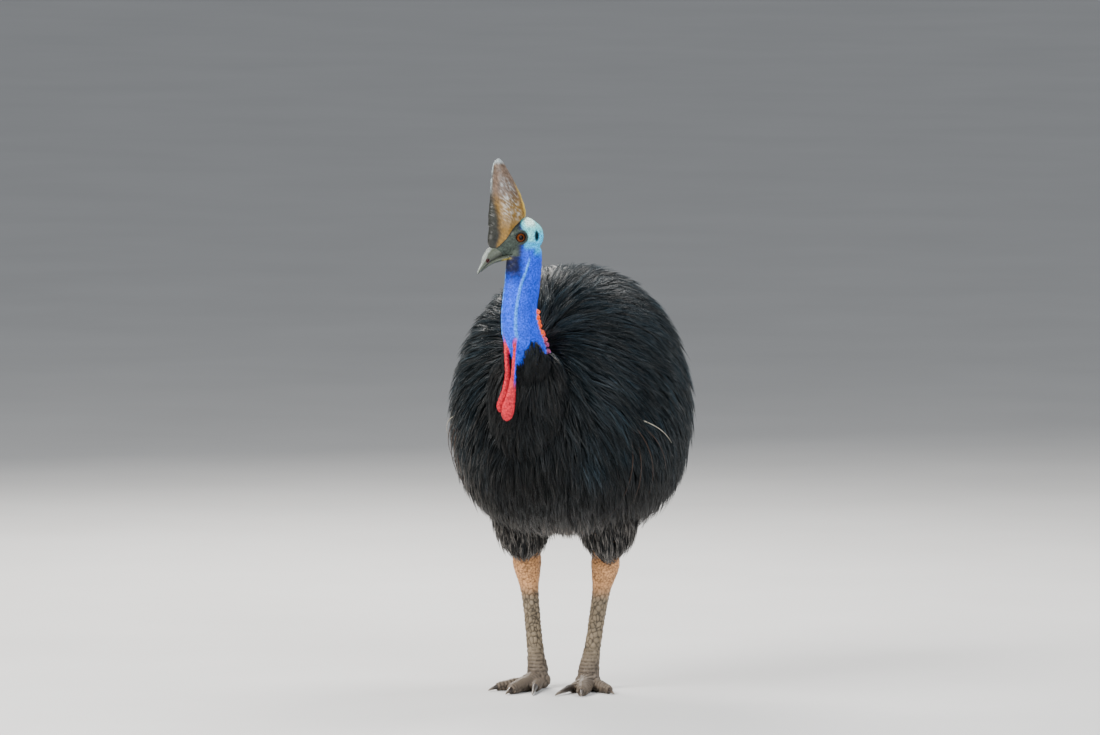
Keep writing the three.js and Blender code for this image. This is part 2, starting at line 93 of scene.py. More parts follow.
# Legs: each joint's distance from the line midway between them, its place front to back, and its
# height. That line lies a little to the bird's right, where STANCE says.
STANCE = -13
HOCK = {"side": 104, "back": 62, "height": 322}
ANKLE = {"side": 67, "back": 30, "height": 40}
FOOT_TURN = math.radians(9)
TOES = {
    "inner": {"turn": -20, "reach": 92, "girth": 16, "claw": 104, "claw_girth": 9},
    "middle": {"turn": 0, "reach": 158, "girth": 19, "claw": 42, "claw_girth": 8},
    "outer": {"turn": 31, "reach": 118, "girth": 16, "claw": 36, "claw_girth": 7},
}

# Scales of the bare legs: the cells of the plates below and of the fine scales above, the
# heights between which they change, where they end, and the pitch of the plates that cross
# the toes and the front of the leg just above them.
PLATE_CELL, FINE_CELL = (11.5, 11.5, 13.5), (9, 9, 6)
FINE_FROM = (235, 285)
SCALES_TOP = 400
TOE_PITCH, FRONT_PITCH = 11, 9

# Wing: where it leaves the flank, as shares of the body's reach, and its bare quills, with
# their heights over the skin from root to tip.
WING = {
    "root": (0.78, -0.62, 0.1), "quills": 5, "long": 225, "girth": 2.8, "heights": (-4, 14, 26, 32, 34, 34),
}

# Camera: the view round the bird, how far off, and the width that the picture takes in.
VIEW = {"azimuth": 15, "elevation": 5, "distance": 40000, "width": 2805, "across": -38, "height": 822}
SENSOR = 36

# Stage, in metres: the floor's side, what the lights point at and, for each light, its place,
# its size, its share of the key light's power and its colour.
FLOOR_SIDE = 900
LIGHT_TARGET = (0, 0, 0.75)
LIGHTS = {
    "key": ((-2.6, -3.6, 3.8), 3.0, 1.0, (1.0, 0.97, 0.92)),
    "fill": ((3.6, -3.2, 2.2), 3.0, 0.4, (0.92, 0.96, 1.0)),
    "rim": ((-2.2, 3.4, 3.6), 2.0, 0.6, (1.0, 0.96, 0.9)),
    "crown": ((1.6, 2.6, 4.2), 2.0, 0.35, (1.0, 0.98, 0.95)),
}


def srgb(red, green, blue):
    """A colour as picked on a screen, in the linear light that shaders use."""
    return tuple(((c + 0.055) / 1.055) ** 2.4 if c > 0.04 else c / 12.92 for c in (red, green, blue))


# Splines and placing


def rows_to_unit(rows):
    """Each row scaled to length 1."""
    return rows / np.maximum(np.linalg.norm(rows, axis=1, keepdims=True), 1e-9)


def spline(stations, share):
    """Points of a smooth curve through the stations, at shares of the way along it."""
    stations = np.asarray(stations, float)
    before, after = 2 * stations[0] - stations[1], 2 * stations[-1] - stations[-2]
    padded = np.vstack([before, stations, after])
    spans = len(stations) - 1
    place = np.clip(share, 0, 1) * spans
    first = np.minimum(place.astype(int), spans - 1)
    f = (place - first)[:, None]
    a, b, c, d = (padded[first + i] for i in range(4))
    rise, fall = (c - a) / 2, (d - b) / 2
    return (2 * b - 2 * c + rise + fall) * f**3 + (3 * c - 3 * b - 2 * rise - fall) * f**2 + rise * f + b


# A step along a path, as a share of it, that is short enough to show the way it runs.
NEARBY = 1e-3


def section_axes(path, share, facing):
    """The two directions of a path's cross-section: across it, and deep towards its facing."""
    ahead = rows_to_unit(spline(path, share + NEARBY) - spline(path, share - NEARBY))
    across = rows_to_unit(np.cross(ahead, facing(share)))
    return across, np.cross(across, ahead)


def at_height(stations, z, *columns):
    """Columns of a path's stations, read off at heights z."""
    stations = np.array(stations, float)
    order = np.argsort(stations[:, 2])
    return [np.interp(z, stations[order, 2], stations[order, i]) for i in columns]


def turned(points, angle):
    """Points turned about the vertical."""
    c, s = math.cos(angle), math.sin(angle)
    x, y, z = np.asarray(points, float).T
    return np.column_stack([c * x - s * y, s * x + c * y, z])


def head_to_bird(points):
    return turned(points, HEAD_TURN) + HEAD_PLACE


def bird_to_head(points):
    return turned(points - HEAD_PLACE, -HEAD_TURN)


def frame_shift():
    """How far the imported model's frame lies from the bird's, measured at the eyes."""
    corners = [np.array(c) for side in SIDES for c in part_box(f"eye_{side}")]
    eyes = head_to_bird([[0, -EYE["ahead"], 0]])[0]
    return np.mean(corners, axis=0) - eyes * MM


SHIFT = frame_shift()


def placed(points):
    """Points of the bird's frame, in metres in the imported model's frame."""
    return np.asarray(points, float) * MM + SHIFT


def raw_points(piece):
    points = np.empty(len(piece.data.vertices) * 3)
    piece.data.vertices.foreach_get("co", points)
    return points.reshape(-1, 3)


def bird_points(piece):
    return (raw_points(piece) - SHIFT) / MM


def vertex_normals(piece):
    normals = np.empty(len(piece.data.vertices) * 3)
    piece.data.vertices.foreach_get("normal", normals)
    return normals.reshape(-1, 3)


def move_points(piece, points):
    """Sets a piece's vertices, given in the bird's frame."""
    piece.data.vertices.foreach_set("co", placed(points).ravel())
    piece.data.update()


def ease(low, high, value):
    """0 below low and 1 above high, with a smooth step between; low may be above high."""
    t = np.clip((value - low) / (high - low), 0, 1)
    return t * t * (3 - 2 * t)


# Modelling


def select_only(piece):
    bpy.ops.object.select_all(action="DESELECT")
    piece.select_set(True)
    bpy.context.view_layer.objects.active = piece


def start_ball(name, sides, rings):
    """A unit ball at the origin, to be shaped."""
    bpy.ops.object.select_all(action="DESELECT")
    bpy.ops.mesh.primitive_uv_sphere_add(segments=sides, ring_count=rings, radius=1)
    piece = bpy.context.object
    piece.name = name
    piece.data.name = name
    return piece


def turn_outwards(piece):
    """Turns a closed shell the right way out."""
    shell = bmesh.new()
    shell.from_mesh(piece.data)
    if shell.calc_volume(signed=True) < 0:
        bmesh.ops.reverse_faces(shell, faces=shell.faces)
    shell.to_mesh(piece.data)
    shell.free()
    return piece


def modified(piece, kind, **settings):
    """Adds a modifier to a piece and applies it."""
    select_only(piece)
    modifier = piece.modifiers.new(kind.title(), kind)
    for key, value in settings.items():
        setattr(modifier, key, value)
    bpy.ops.object.modifier_apply(modifier=modifier.name)
    return piece


def joined(name, pieces):
    """Several pieces as one object, under a new name."""
    select_only(pieces[0])
    for piece in pieces:
        piece.select_set(True)
    if len(pieces) > 1:
        bpy.ops.object.join()
    result = bpy.context.object
    result.name = name
    result.data.name = name
    return result


def fused(name, pieces, voxel, smoothing):
    """Overlapping pieces melted into one closed, even surface."""
    body = joined(name, pieces)
    modified(body, "REMESH", mode="VOXEL", voxel_size=voxel * MM, use_smooth_shade=True)
    return modified(body, "SMOOTH", factor=0.5, iterations=smoothing)


def combined(piece, other, operation):
    """A Boolean of two closed pieces, which uses up the second."""
    modified(piece, "BOOLEAN", operation=operation, solver="MANIFOLD", object=other)
    bpy.data.objects.remove(other, do_unlink=True)
    return piece


def ellipsoid(name, centre, radii, in_head=False, sides=24, rings=16):
    piece = start_ball(name, sides, rings)
    points = raw_points(piece) * np.array(radii) + np.array(centre)
    move_points(piece, head_to_bird(points) if in_head else points)
    return piece


def facing_steady(direction):
    return lambda share: np.tile(np.array(direction, float), (len(share), 1))


def limb(name, stations, facing, sides, rings, round_ends=0.2, shape=None, in_head=False):
    """A body swept along stations of x, y, z, half width across and half depth along facing."""
    piece = start_ball(name, sides, rings)
    unit = raw_points(piece)
    share = np.arccos(np.clip(unit[:, 2], -1, 1)) / math.pi
    turn = np.arctan2(unit[:, 1], unit[:, 0])
    stations = np.array(stations, float)
    path, girth = stations[:, :3], spline(stations[:, 3:], share)
    across, deep = section_axes(path, share, facing)
    end = np.clip(1 - np.minimum(share, 1 - share) / round_ends, 0, 1)
    out = np.sqrt(1 - end**2) * (1 if shape is None else shape(turn))
    points = spline(path, share)
    points += across * (girth[:, 0] * out * np.cos(turn))[:, None]
    points += deep * (girth[:, 1] * out * np.sin(turn))[:, None]
    move_points(piece, head_to_bird(points) if in_head else points)
    return turn_outwards(piece)


def finished(piece, material, nodes=()):
    """The last steps of every piece: finish, shading, what it rides on, and hiding the imported parts that it stands
    for.
    """
    piece.data.materials.clear()
    piece.data.materials.append(material)
    piece.data.shade_smooth()
    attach(piece, "root")
    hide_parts(*nodes)
    return piece


def paint(piece, colours, name="tint"):
    """Stores a colour for each vertex."""
    layer = piece.data.attributes.new(name, "FLOAT_COLOR", "POINT")
    layer.data.foreach_set("color", np.column_stack([colours, np.ones(len(colours))]).ravel())


def mark(piece, values, name):
    """Stores a number for each vertex."""
    layer = piece.data.attributes.new(name, "FLOAT", "POINT")
    layer.data.foreach_set("value", np.asarray(values, float))


def over(colours, colour, mask):
    """Lays a colour over others where the mask is 1."""
    return colours + (np.array(colour) - colours) * np.clip(mask, 0, 1)[:, None]


# Finishes


def add_node(tree, kind, inputs=None, **settings):
    made = tree.nodes.new("ShaderNode" + kind)
    for key, value in settings.items():
        setattr(made, key, value)
    for key, value in (inputs or {}).items():
        if isinstance(value, bpy.types.NodeSocket):
            tree.links.new(value, made.inputs[key])
        else:
            made.inputs[key].default_value = value
    return made


def new_finish(name, **settings):
    """A material with a Principled shader, and its node tree."""
    material = bpy.data.materials.new(name)
    material.use_nodes = True
    tree = material.node_tree
    shader = tree.nodes["Principled BSDF"]
    for key, value in settings.items():
        shader.inputs[key.replace("_", " ")].default_value = value
    return material, tree, shader


def mixed(tree, blend, share, first, second):
    """Two colours mixed in one node."""
    node = add_node(tree, "Mix", {0: share, 6: first, 7: second}, data_type="RGBA", blend_type=blend)
    return node.outputs[2]


def ramp(tree, value, stops):
    """Colours along a number, from (place, colour) stops."""
    node = add_node(tree, "ValToRGB", {"Fac": value})
    while len(node.color_ramp.elements) < len(stops):
        node.color_ramp.elements.new(1.0)
    for element, (place, colour) in zip(node.color_ramp.elements, stops):
        element.position = place
        element.color = (*colour, 1.0)
    return node.outputs["Color"]


def attribute(tree, name, output="Color"):
    return add_node(tree, "Attribute", attribute_name=name).outputs[output]


def noise_at(tree, scale, detail=4.0, stretch=(1, 1, 1)):
    """Noise on Object coordinates, stretched along some of them."""
    coordinates = add_node(tree, "TexCoord").outputs["Object"]
    mapping = add_node(tree, "Mapping", {"Vector": coordinates, "Scale": stretch})
    texture = add_node(tree, "TexNoise", {"Vector": mapping.outputs[0], "Scale": scale, "Detail": detail})
    return texture.outputs["Fac"]


def grey(level):
    return (level, level, level)


def bumped(tree, height, strength, distance, below=None):
    """A bump of a height in metres, over another bump or over the surface itself."""
    inputs = {"Height": height, "Strength": strength, "Distance": distance}
    if below is not None:
        inputs["Normal"] = below
    return add_node(tree, "Bump", inputs).outputs[0]


def skin_finish():
    """Granular bare skin on head and neck, and cracked scales on the legs."""
    material, tree, shader = new_finish("bare_skin", Roughness=0.5, Specular_IOR_Level=0.2)
    tint = attribute(tree, "tint")
    scaly = attribute(tree, "scaly", "Fac")
    grain = ramp(tree, noise_at(tree, 230, 3.0), [(0.36, grey(0.5)), (0.64, grey(1.5))])
    mottle = ramp(tree, noise_at(tree, 45), [(0.3, grey(0.8)), (0.7, grey(1.15))])
    smooth = add_node(tree, "Math", {0: 0.85, 1: scaly}, operation="SUBTRACT").outputs[0]
    coloured = mixed(tree, "MULTIPLY", smooth, tint, grain)
    coloured = mixed(tree, "MULTIPLY", 0.9, coloured, mottle)
    depths = [(0.03, grey(0.12)), (0.4, grey(0.95)), (0.9, grey(1.3))]
    cracks = ramp(tree, attribute(tree, "plate", "Fac"), depths)
    coloured = mixed(tree, "MULTIPLY", scaly, coloured, cracks)
    tree.links.new(coloured, shader.inputs["Base Color"])
    coordinates = add_node(tree, "TexCoord").outputs["Object"]
    pores = add_node(tree, "TexVoronoi", {"Vector": coordinates, "Scale": 520.0}, feature="SMOOTH_F1")
    fine = bumped(tree, pores.outputs["Distance"], 0.35, 0.0012)
    plates = add_node(tree, "Math", {0: cracks, 1: scaly}, operation="MULTIPLY").outputs[0]
    tree.links.new(bumped(tree, plates, 0.7, 0.0014, fine), shader.inputs["Normal"])
    return material


def horn_finish(name, roughness, streaks, depth, stretch, coat=0.0):
    """Horn in its painted tints, streaked along its growth."""
    material, tree, shader = new_finish(
        name, Roughness=roughness, Specular_IOR_Level=0.3, Coat_Weight=coat, Coat_Roughness=0.3,
    )
    streak = noise_at(tree, streaks, 6.0, stretch)
    tone = ramp(tree, streak, [(0.28, grey(0.6)), (0.72, grey(1.4))])
    coloured = mixed(tree, "MULTIPLY", 0.85, attribute(tree, "tint"), tone)
    tree.links.new(coloured, shader.inputs["Base Color"])
    pits = noise_at(tree, streaks * 2.6, 5.0, stretch)
    coarse = bumped(tree, streak, depth, 0.002)
    tree.links.new(bumped(tree, pits, depth, 0.0008, coarse), shader.inputs["Normal"])
    return material


def eye_finish(settings):
    """A dark pupil in a flecked iris, under a wet surface."""
    material, tree, shader = new_finish("eye", Roughness=0.14, Specular_IOR_Level=0.08)
    flecks = noise_at(tree, 900, 3.0)
    angle = attribute(tree, "gaze", "Fac")
    iris, rim = settings.iris, (0.006, 0.004, 0.003)
    rings = ramp(
        tree, angle,
        [(0.0, rim), (0.34, rim), (0.37, tuple(c * 0.45 for c in iris)), (0.46, tuple(iris)),
         (0.64, tuple(c * 0.6 for c in iris)), (0.76, rim)],
    )
    shade = ramp(tree, flecks, [(0.3, grey(0.6)), (0.7, grey(1.25))])
    tree.links.new(mixed(tree, "MULTIPLY", 1.0, rings, shade), shader.inputs["Base Color"])
    return material


def coat_finish(name):
    """Dark feather strands in their own tints, with a soft cool sheen."""
    material, tree, shader = new_finish(
        name, Roughness=0.3, Specular_IOR_Level=0.18, Sheen_Weight=0.03, Sheen_Roughness=0.4,
        Sheen_Tint=(0.55, 0.75, 0.85, 1.0),
    )
    streak = ramp(tree, noise_at(tree, 160, 3.0), [(0.3, grey(0.75)), (0.7, grey(1.25))])
    tree.links.new(mixed(tree, "MULTIPLY", 1.0, attribute(tree, "tint"), streak), shader.inputs["Base Color"])
    return material


# Masses that the plumage covers


class Mass:
    """A rounded body that reaches a different distance each way, and may lean as it rises."""

    fullness = 2.12

    def __init__(self, size, side=1):
        x, y, z = size["centre"]
        self.centre = np.array([x * side, y, z], float)
        self.size = size
        self.lean = size.get("lean", 0.0)

    def upright(self, points):
        """Points measured from the centre, as if the mass didn't lean."""
        away = points - self.centre
        away[:, 1] += self.lean * away[:, 2]
        return away

    def leaning(self, away):
        points = away + self.centre
        points[:, 1] -= self.lean * away[:, 2]
        return points

    def reach(self, away):
        x = np.full(len(away), float(self.size["side"]))
        y = np.where(away[:, 1] < 0, self.size["front"], self.size["rear"])
        z = np.where(away[:, 2] < 0, self.size["down"], self.size["up"])
        return np.column_stack([x, y, z])

    def share(self, points):
        away = self.upright(points)
        parts = np.abs(away / self.reach(away)) ** self.fullness
        return parts.sum(axis=1) ** (1 / self.fullness)

    def onto(self, points):
        return self.leaning(self.upright(points) / self.share(points)[:, None])

    def normal(self, points):
        away = self.upright(points)
        reach = self.reach(away)
        slope = np.sign(away) * np.abs(away / reach) ** (self.fullness - 1) / reach
        slope[:, 2] += self.lean * slope[:, 1]
        return rows_to_unit(slope)

    def towards(self, directions):
        return self.onto(self.leaning(directions * self.reach(directions)))

    def unwrapped(self, points):
        """Each point's place on a flat map of the mass, from 0 to 1."""
        away = self.upright(points)
        away = away / self.reach(away)
        flat = np.arctan2(away[:, 1], away[:, 0]) / (2 * math.pi) + 0.5
        high = np.arccos(np.clip(away[:, 2] / np.linalg.norm(away, axis=1), -1, 1)) / math.pi
        return np.column_stack([flat, high])

    def shell(self, name, sides=48, rings=32):
        piece = start_ball(name, sides, rings)
        move_points(piece, self.towards(raw_points(piece)))
        return piece


torso, ruff, collar = Mass(TORSO), Mass(RUFF), Mass(COLLAR)
thighs = {side: Mass(THIGH, side=sign) for side, sign in SIDES.items()}


# Head and neck

UPWARD = facing_steady(UP)
SKULL = [
    (0, 77, -13, 15, 17), (0, 65, -9, 25, 29), (0, 48, -3, 31, 40), (0, 26, 1, 34, 49), (0, 0, -3, 34, 45),
    (0, -26, -17, 25, 33), (0, -46, -31, 18, 21), (0, -60, -40, 12, 14),
]
BROW = [(25, -22, 0, 3, 3), (31, -12, 13, 4, 5), (31, 4, 17, 4, 5), (33, 17, 10, 3, 3)]
GAPE = [
    (11, -54, -52, 3, 1.3), (14.5, -32, -46, 3, 1.5), (19.5, -8, -40, 3.5, 1.5), (24.5, 10, -34, 2.5, 1.1),
]
EAR = {"centre": (30, 48, 3), "radii": (8, 4.8, 9.5)}
CASQUE = [
    (0, -46, -40, 10, 20), (0, -42, -13, 19, 34), (0, -27, 16, 26, 46), (0, -20, 54, 25, 51),
    (0, -24, 92, 21, 45), (0, -31, 124, 17, 36), (0, -38, 154, 12.5, 27), (0, -44, 182, 8, 16),
    (0, -45, 199, 4, 9),
]

# The casque's middle, and its wrinkles' size along their slant, across it and through the casque.
CASQUE_MIDDLE = (0, -25, 60)
CASQUE_GRAIN = (4.2, 15, 12)
UPPER_BILL = [
    (0, -16, -22, 18, 14), (0, -44, -33, 16, 16), (0, -62, -42, 13, 17), (0, -76, -53, 10, 13),
    (0, -85, -67, 6.5, 8), (0, -94, -78, 4, 5), (0, -100, -86, 2.5, 3), (0, -102, -91, 1.5, 1.5),
]
LOWER_BILL = [
    (0, -6, -46, 16, 8), (0, -38, -53, 14, 7.5), (0, -58, -59, 10.5, 6), (0, -74, -68, 6.5, 4.5),
    (0, -86, -78, 3.5, 3), (0, -94, -85, 2, 2),
]
NOSTRIL = {"centre": (9, -78, -57), "radii": (3.4, 6.0, 2.6), "tilt": 0.85}

# Neck stations end with the way the throat faces there, in degrees to the bird's right.
NECK = [
    (4, -400, 1184, 30, 43, 48), (1, -403, 1130, 34, 47.5, 46), (-1, -404, 1087, 33.5, 47.5, 40),
    (-5, -405, 1043, 35, 48, 34), (-12, -401, 986, 39, 47, 28), (-7, -390, 932, 44, 52, 18),
    (0, -366, 885, 47, 52, 8), (0, -345, 845, 36, 40, 0),
]

# The two folds of throat skin: how far down the neck, and how far round it from the throat.
FOLD_SHARES = (0.1, 0.22, 0.36, 0.5, 0.62, 0.72)
FOLD_TURNS = {"left": (90, 74, 54, 41, 31, 24), "right": (-40, -39, -39, -43, -49, -54)}
WATTLES = {
    "left": [
        (-8, -432, 952, 5, 5), (-11, -441, 916, 5.5, 5), (-12, -450, 876, 6, 5), (-14, -455, 832, 7.5, 6),
        (-19, -458, 790, 12.5, 8), (-26, -459, 755, 16, 9.5), (-31, -458, 727, 14, 8),
    ],
    "right": [
        (-45, -414, 952, 5, 5), (-41, -424, 914, 5.5, 5.5), (-36, -431, 876, 6, 6), (-34, -435, 838, 7, 6.5),
        (-40, -437, 796, 10, 8), (-49, -437, 768, 11.5, 8.5), (-53, -436, 746, 9.5, 7),
    ],
}
WATTLE_FACING = facing_steady((0.34, -0.94, 0))
WATTLE_LEFT = (0.94, 0.34, 0)

# Nape bulbs: rows down the neck, as shares of its length, and columns round it, in radians.
BULBS = {"rows": 9, "first": 0.53, "down": 0.044, "columns": (-2, -1, 0, 1, 2), "round": 0.4}


def throat_facing(share):
    turns = np.radians(spline(np.array(NECK)[:, 5:], share)[:, 0])
    return np.column_stack([-np.sin(turns), -np.cos(turns), np.zeros(len(turns))])


def on_neck(turn, share):
    """Points of the neck's skin, at a turn round it and a share of the way down it."""
    share = np.atleast_1d(np.asarray(share, float))
    turn = np.broadcast_to(turn, share.shape)[:, None]
    stations = np.array(NECK, float)
    path, girth = stations[:, :3], spline(stations[:, 3:5], share)
    across, deep = section_axes(path, share, throat_facing)
    points = spline(path, share) + across * (girth[:, :1] * np.cos(turn))
    return points + deep * (girth[:, 1:] * np.sin(turn))


def fold_stations(side):
    """The two folds of throat skin, which grow towards the wattles."""
    turns = math.pi / 2 + np.radians(FOLD_TURNS[side])
    girths = np.linspace(2.8, 4.4, len(turns))
    return np.column_stack([on_neck(turns, FOLD_SHARES), girths, girths])


def nape_bulbs():
    """Centres and radii of the soft bulbs in rows down the nape."""
    random = np.random.default_rng(4)
    bulbs = []
    for row in range(BULBS["rows"]):
        for column in BULBS["columns"]:
            turn = -math.pi / 2 + column * BULBS["round"] + random.uniform(-0.05, 0.05)
            share = BULBS["first"] + BULBS["down"] * row + BULBS["down"] / 2 * (column % 2)
            share += random.uniform(-0.005, 0.005)
            spot = on_neck(turn, share)[0]
            away = spot - on_neck(turn + math.pi, share)[0]
            spot = spot + away / np.linalg.norm(away) * (3 + 0.8 * max(0, row - 3))
            bulbs.append((*spot, random.uniform(6.0, 7.4) + 0.15 * row))
    return np.array(bulbs)


def lid_ring(sign):
    """The ring of lids round one eye."""
    bpy.ops.object.select_all(action="DESELECT")
    bpy.ops.mesh.primitive_torus_add(
        major_segments=48, minor_segments=12, major_radius=LIDS["radius"], minor_radius=LIDS["girth"],
    )
    ring = bpy.context.object
    x, y, z = raw_points(ring).T
    hug = LIDS["out"] - 0.012 * x**2 - 0.02 * y**2
    points = np.column_stack([sign * (hug + z), x * LIDS["long"] - EYE["ahead"], y * LIDS["high"]])
    move_points(ring, head_to_bird(points))
    return turn_outwards(ring)


def for_both_sides(stations):
    """Stations on the left side, and their mirror on the right."""
    left = np.array(stations, float)
    return left, left * np.array([-1, 1, 1, 1, 1])


def roughen(piece, mask, height, size):
    """Moves vertices along their normals by smooth noise, where the mask allows."""
    points = bird_points(piece)
    normals = vertex_normals(piece)
    moved = np.flatnonzero(mask > 0.01)
    lift = np.array([noise.noise(Vector(points[i] / size)) for i in moved])
    points[moved] += normals[moved] * (lift * height * mask[moved])[:, None]
    move_points(piece, points)


def build_head_skin(settings):
    """Skull, brows, neck, throat folds, nape bulbs and wattles as one surface."""
    parts = [limb("skull", SKULL, UPWARD, 48, 40, in_head=True)]
    parts += [limb("brow", s, UPWARD, 12, 12, round_ends=0.3, in_head=True) for s in for_both_sides(BROW)]
    parts.append(limb("neck", np.array(NECK)[:, :5], throat_facing, 48, 48, round_ends=0.08))
    for side in SIDES:
        parts.append(limb("fold", fold_stations(side), throat_facing, 12, 24, round_ends=0.25))
        parts.append(limb("wattle", WATTLES[side], WATTLE_FACING, 24, 40, round_ends=0.14))
    for x, y, z, radius in nape_bulbs():
        parts.append(ellipsoid("bulb", (x, y, z), (radius, radius, radius * 0.85), sides=12, rings=8))
    skin = fused("skin", parts, settings.head_voxel, 4)
    z = bird_points(skin)[:, 2]
    roughen(skin, ease(1160, 1120, z), height=1.1, size=7.0)
    roughen(skin, ease(960, 900, z), height=1.3, size=4.5)
    for sign in SIDES.values():
        combined(skin, lid_ring(sign), "UNION")
        centre = (sign * EYE["side"], -EYE["ahead"], 0)
        hollow = EYE["radius"] + EYE["clearance"]
        combined(skin, ellipsoid("hollow", centre, (hollow,) * 3, True, 48, 32), "DIFFERENCE")
        outside = (sign * LID_CUT["out"], -EYE["ahead"], 0)
        combined(skin, ellipsoid("opening", outside, LID_CUT["radii"], True, 64, 48), "DIFFERENCE")
        ear = np.array(EAR["centre"]) * (sign, 1, 1)
        combined(skin, ellipsoid("ear", ear, EAR["radii"], True), "DIFFERENCE")
    for stations in for_both_sides(GAPE):
        combined(skin, limb("gape", stations, UPWARD, 12, 24, in_head=True), "DIFFERENCE")
    return skin


# Legs and feet


def shank_stations(sign):
    """The bare shank, from inside the thigh down into the foot."""
    def between(share, across, deep):
        """A station at a share of the way up from ankle to hock."""
        return (
            STANCE + sign * (ANKLE["side"] + (HOCK["side"] - ANKLE["side"]) * share),
            ANKLE["back"] + (HOCK["back"] - ANKLE["back"]) * share,
            ANKLE["height"] + (HOCK["height"] - ANKLE["height"]) * share,
            across,
            deep,
        )

    side, back, height = HOCK["side"], HOCK["back"], HOCK["height"]
    return [
        (STANCE + sign * (side + 3), back - 34, height + 118, 27, 30),
        (STANCE + sign * (side + 2), back - 18, height + 62, 29, 33),
        (STANCE + sign * side, back - 2, height + 24, 34, 38),
        between(0.98, 36, 42),
        between(0.87, 30, 35),
        between(0.72, 22, 28),
        between(0.45, 20, 26),
        between(0.2, 21, 26),
        between(0.02, 27, 29),
        (STANCE + sign * ANKLE["side"], ANKLE["back"] - 3, 16, 27, 28),
    ]


def toe_way(sign, toe):
    """The way a toe points on the floor, and the ankle that it leaves."""
    turn = math.radians(toe["turn"]) + FOOT_TURN
    way = np.array([sign * math.sin(turn), -math.cos(turn)])
    return way, np.array([STANCE + sign * ANKLE["side"], ANKLE["back"]])


def toe_stations(sign, toe):
    way, ankle = toe_way(sign, toe)
    girth = toe["girth"]
    profile = [
        (-0.05, 26, 1.1), (0.2, 22, 1.15), (0.42, girth * 0.92, 0.98), (0.6, girth * 0.86, 1.0),
        (0.8, girth * 0.76, 0.86), (1.0, girth * 0.68, 0.74), (1.08, girth * 0.62, 0.6),
    ]
    return [(*(ankle + way * toe["reach"] * t), h, girth * g, girth * g) for t, h, g in profile]


def claw_stations(sign, toe):
    way, ankle = toe_way(sign, toe)
    root = toe["claw_girth"]
    profile = [(-0.06, 1.35, 1.0), (0.2, 1.5, 1.0), (0.5, 1.2, 0.72), (0.8, 0.78, 0.42), (1.0, 0.34, 0.16)]
    return [
        (*(ankle + way * (toe["reach"] + toe["claw"] * t)), root * h, root * g * 0.8, root * g)
        for t, h, g in profile
    ]


def scale_plates(points, normals):
    """Height of the leg's scales, from 0 in the cracks to 1: small ones, and plates across each toe."""
    z = points[:, 2]
    heights = np.ones(len(points))
    upper = ease(*FINE_FROM, z)
    for i in np.flatnonzero(z < SCALES_TOP):
        heights[i] = 0
        for cell, part in ((PLATE_CELL, 1 - upper[i]), (FINE_CELL, upper[i])):
            near, next_near = noise.voronoi(Vector(points[i] / cell))[0][:2]
            heights[i] += part * min(1.0, (next_near - near) * 2.6)
    for sign in SIDES.values():
        away = points[:, :2] - (STANCE + sign * ANKLE["side"], ANKLE["back"])
        from_ankle = np.linalg.norm(away, axis=1)
        on_toe = ease(32, 38, from_ankle) * ease(46, 40, z) * ease(0, 0.4, normals[:, 2])
        on_toe *= from_ankle < 210
        across_toe = np.abs(np.sin(from_ankle * math.pi / TOE_PITCH))
        heights += (across_toe - heights) * on_toe
        on_front = ease(-0.3, -0.7, normals[:, 1]) * ease(120, 90, z) * ease(36, 46, z)
        on_front *= (points[:, 0] - STANCE) * sign > 0
        across_front = np.abs(np.sin(z * math.pi / FRONT_PITCH))
        heights += (across_front - heights) * on_front * 0.6
    return np.clip(heights, 0, 1)


def build_legs(settings):
    """Shanks, heel pads and toes as one surface, with raised scales."""
    parts = []
    for sign in SIDES.values():
        parts.append(limb("shank", shank_stations(sign), facing_steady((0, -1, 0.15)), 32, 64, round_ends=0.07))
        pad_centre = (STANCE + sign * ANKLE["side"], ANKLE["back"] - 2, 20)
        parts.append(ellipsoid("pad", pad_centre, (34, 34, 24)))
        parts += [limb("toe", toe_stations(sign, toe), UPWARD, 20, 32, round_ends=0.1) for toe in TOES.values()]
    legs = fused("legs", parts, settings.leg_voxel, 3)
    points = bird_points(legs)
    normals = vertex_normals(legs)
    plate = scale_plates(points, normals)
    relief = 2.2 - 0.9 * ease(*FINE_FROM, points[:, 2])
    lift = relief * (plate - 0.6) * ease(SCALES_TOP, SCALES_TOP - 40, points[:, 2])
    points += normals * lift[:, None]
    mark(legs, plate, "plate")
    points[:, 2] = np.maximum(points[:, 2], 0)
    move_points(legs, points)
    return legs


def build_body(settings):
    """The body under the plumage, as one smooth surface."""
    parts = [torso.shell("torso_skin"), ruff.shell("ruff_skin")]
    parts += [thigh.shell("thigh_skin") for thigh in thighs.values()]
    return fused("body", parts, settings.body_voxel, 6)


def distance_to_path(points, stations):
    """Each point's distance from a path, and its share of the way along it."""
    share = np.linspace(0, 1, 200)
    path = spline(np.array(stations, float)[:, :3], share)
    gaps = np.linalg.norm(points[:, None, :] - path[None, :, :], axis=2)
    return gaps.min(axis=1), share[gaps.argmin(axis=1)]


def neck_masks(points):
    """Where the bare neck is, and how far each point faces the throat, from -1 to 1."""
    x, y, z = points.T
    middle_x, middle_y, wide, deep, facing = at_height(NECK, z, 0, 1, 3, 4, 5)
    out = np.column_stack([x - middle_x, y - middle_y])
    apart = np.linalg.norm(out, axis=1)
    turn = np.radians(facing)
    front = (out[:, 0] * -np.sin(turn) - out[:, 1] * np.cos(turn)) / np.maximum(apart, 1)
    above_feathers = np.maximum(ease(940, 980, z), ease(1.5, 1.3, np.hypot(out[:, 0] / wide, out[:, 1] / deep)))
    return ease(820, 845, z) * ease(86, 74, apart) * above_feathers, front


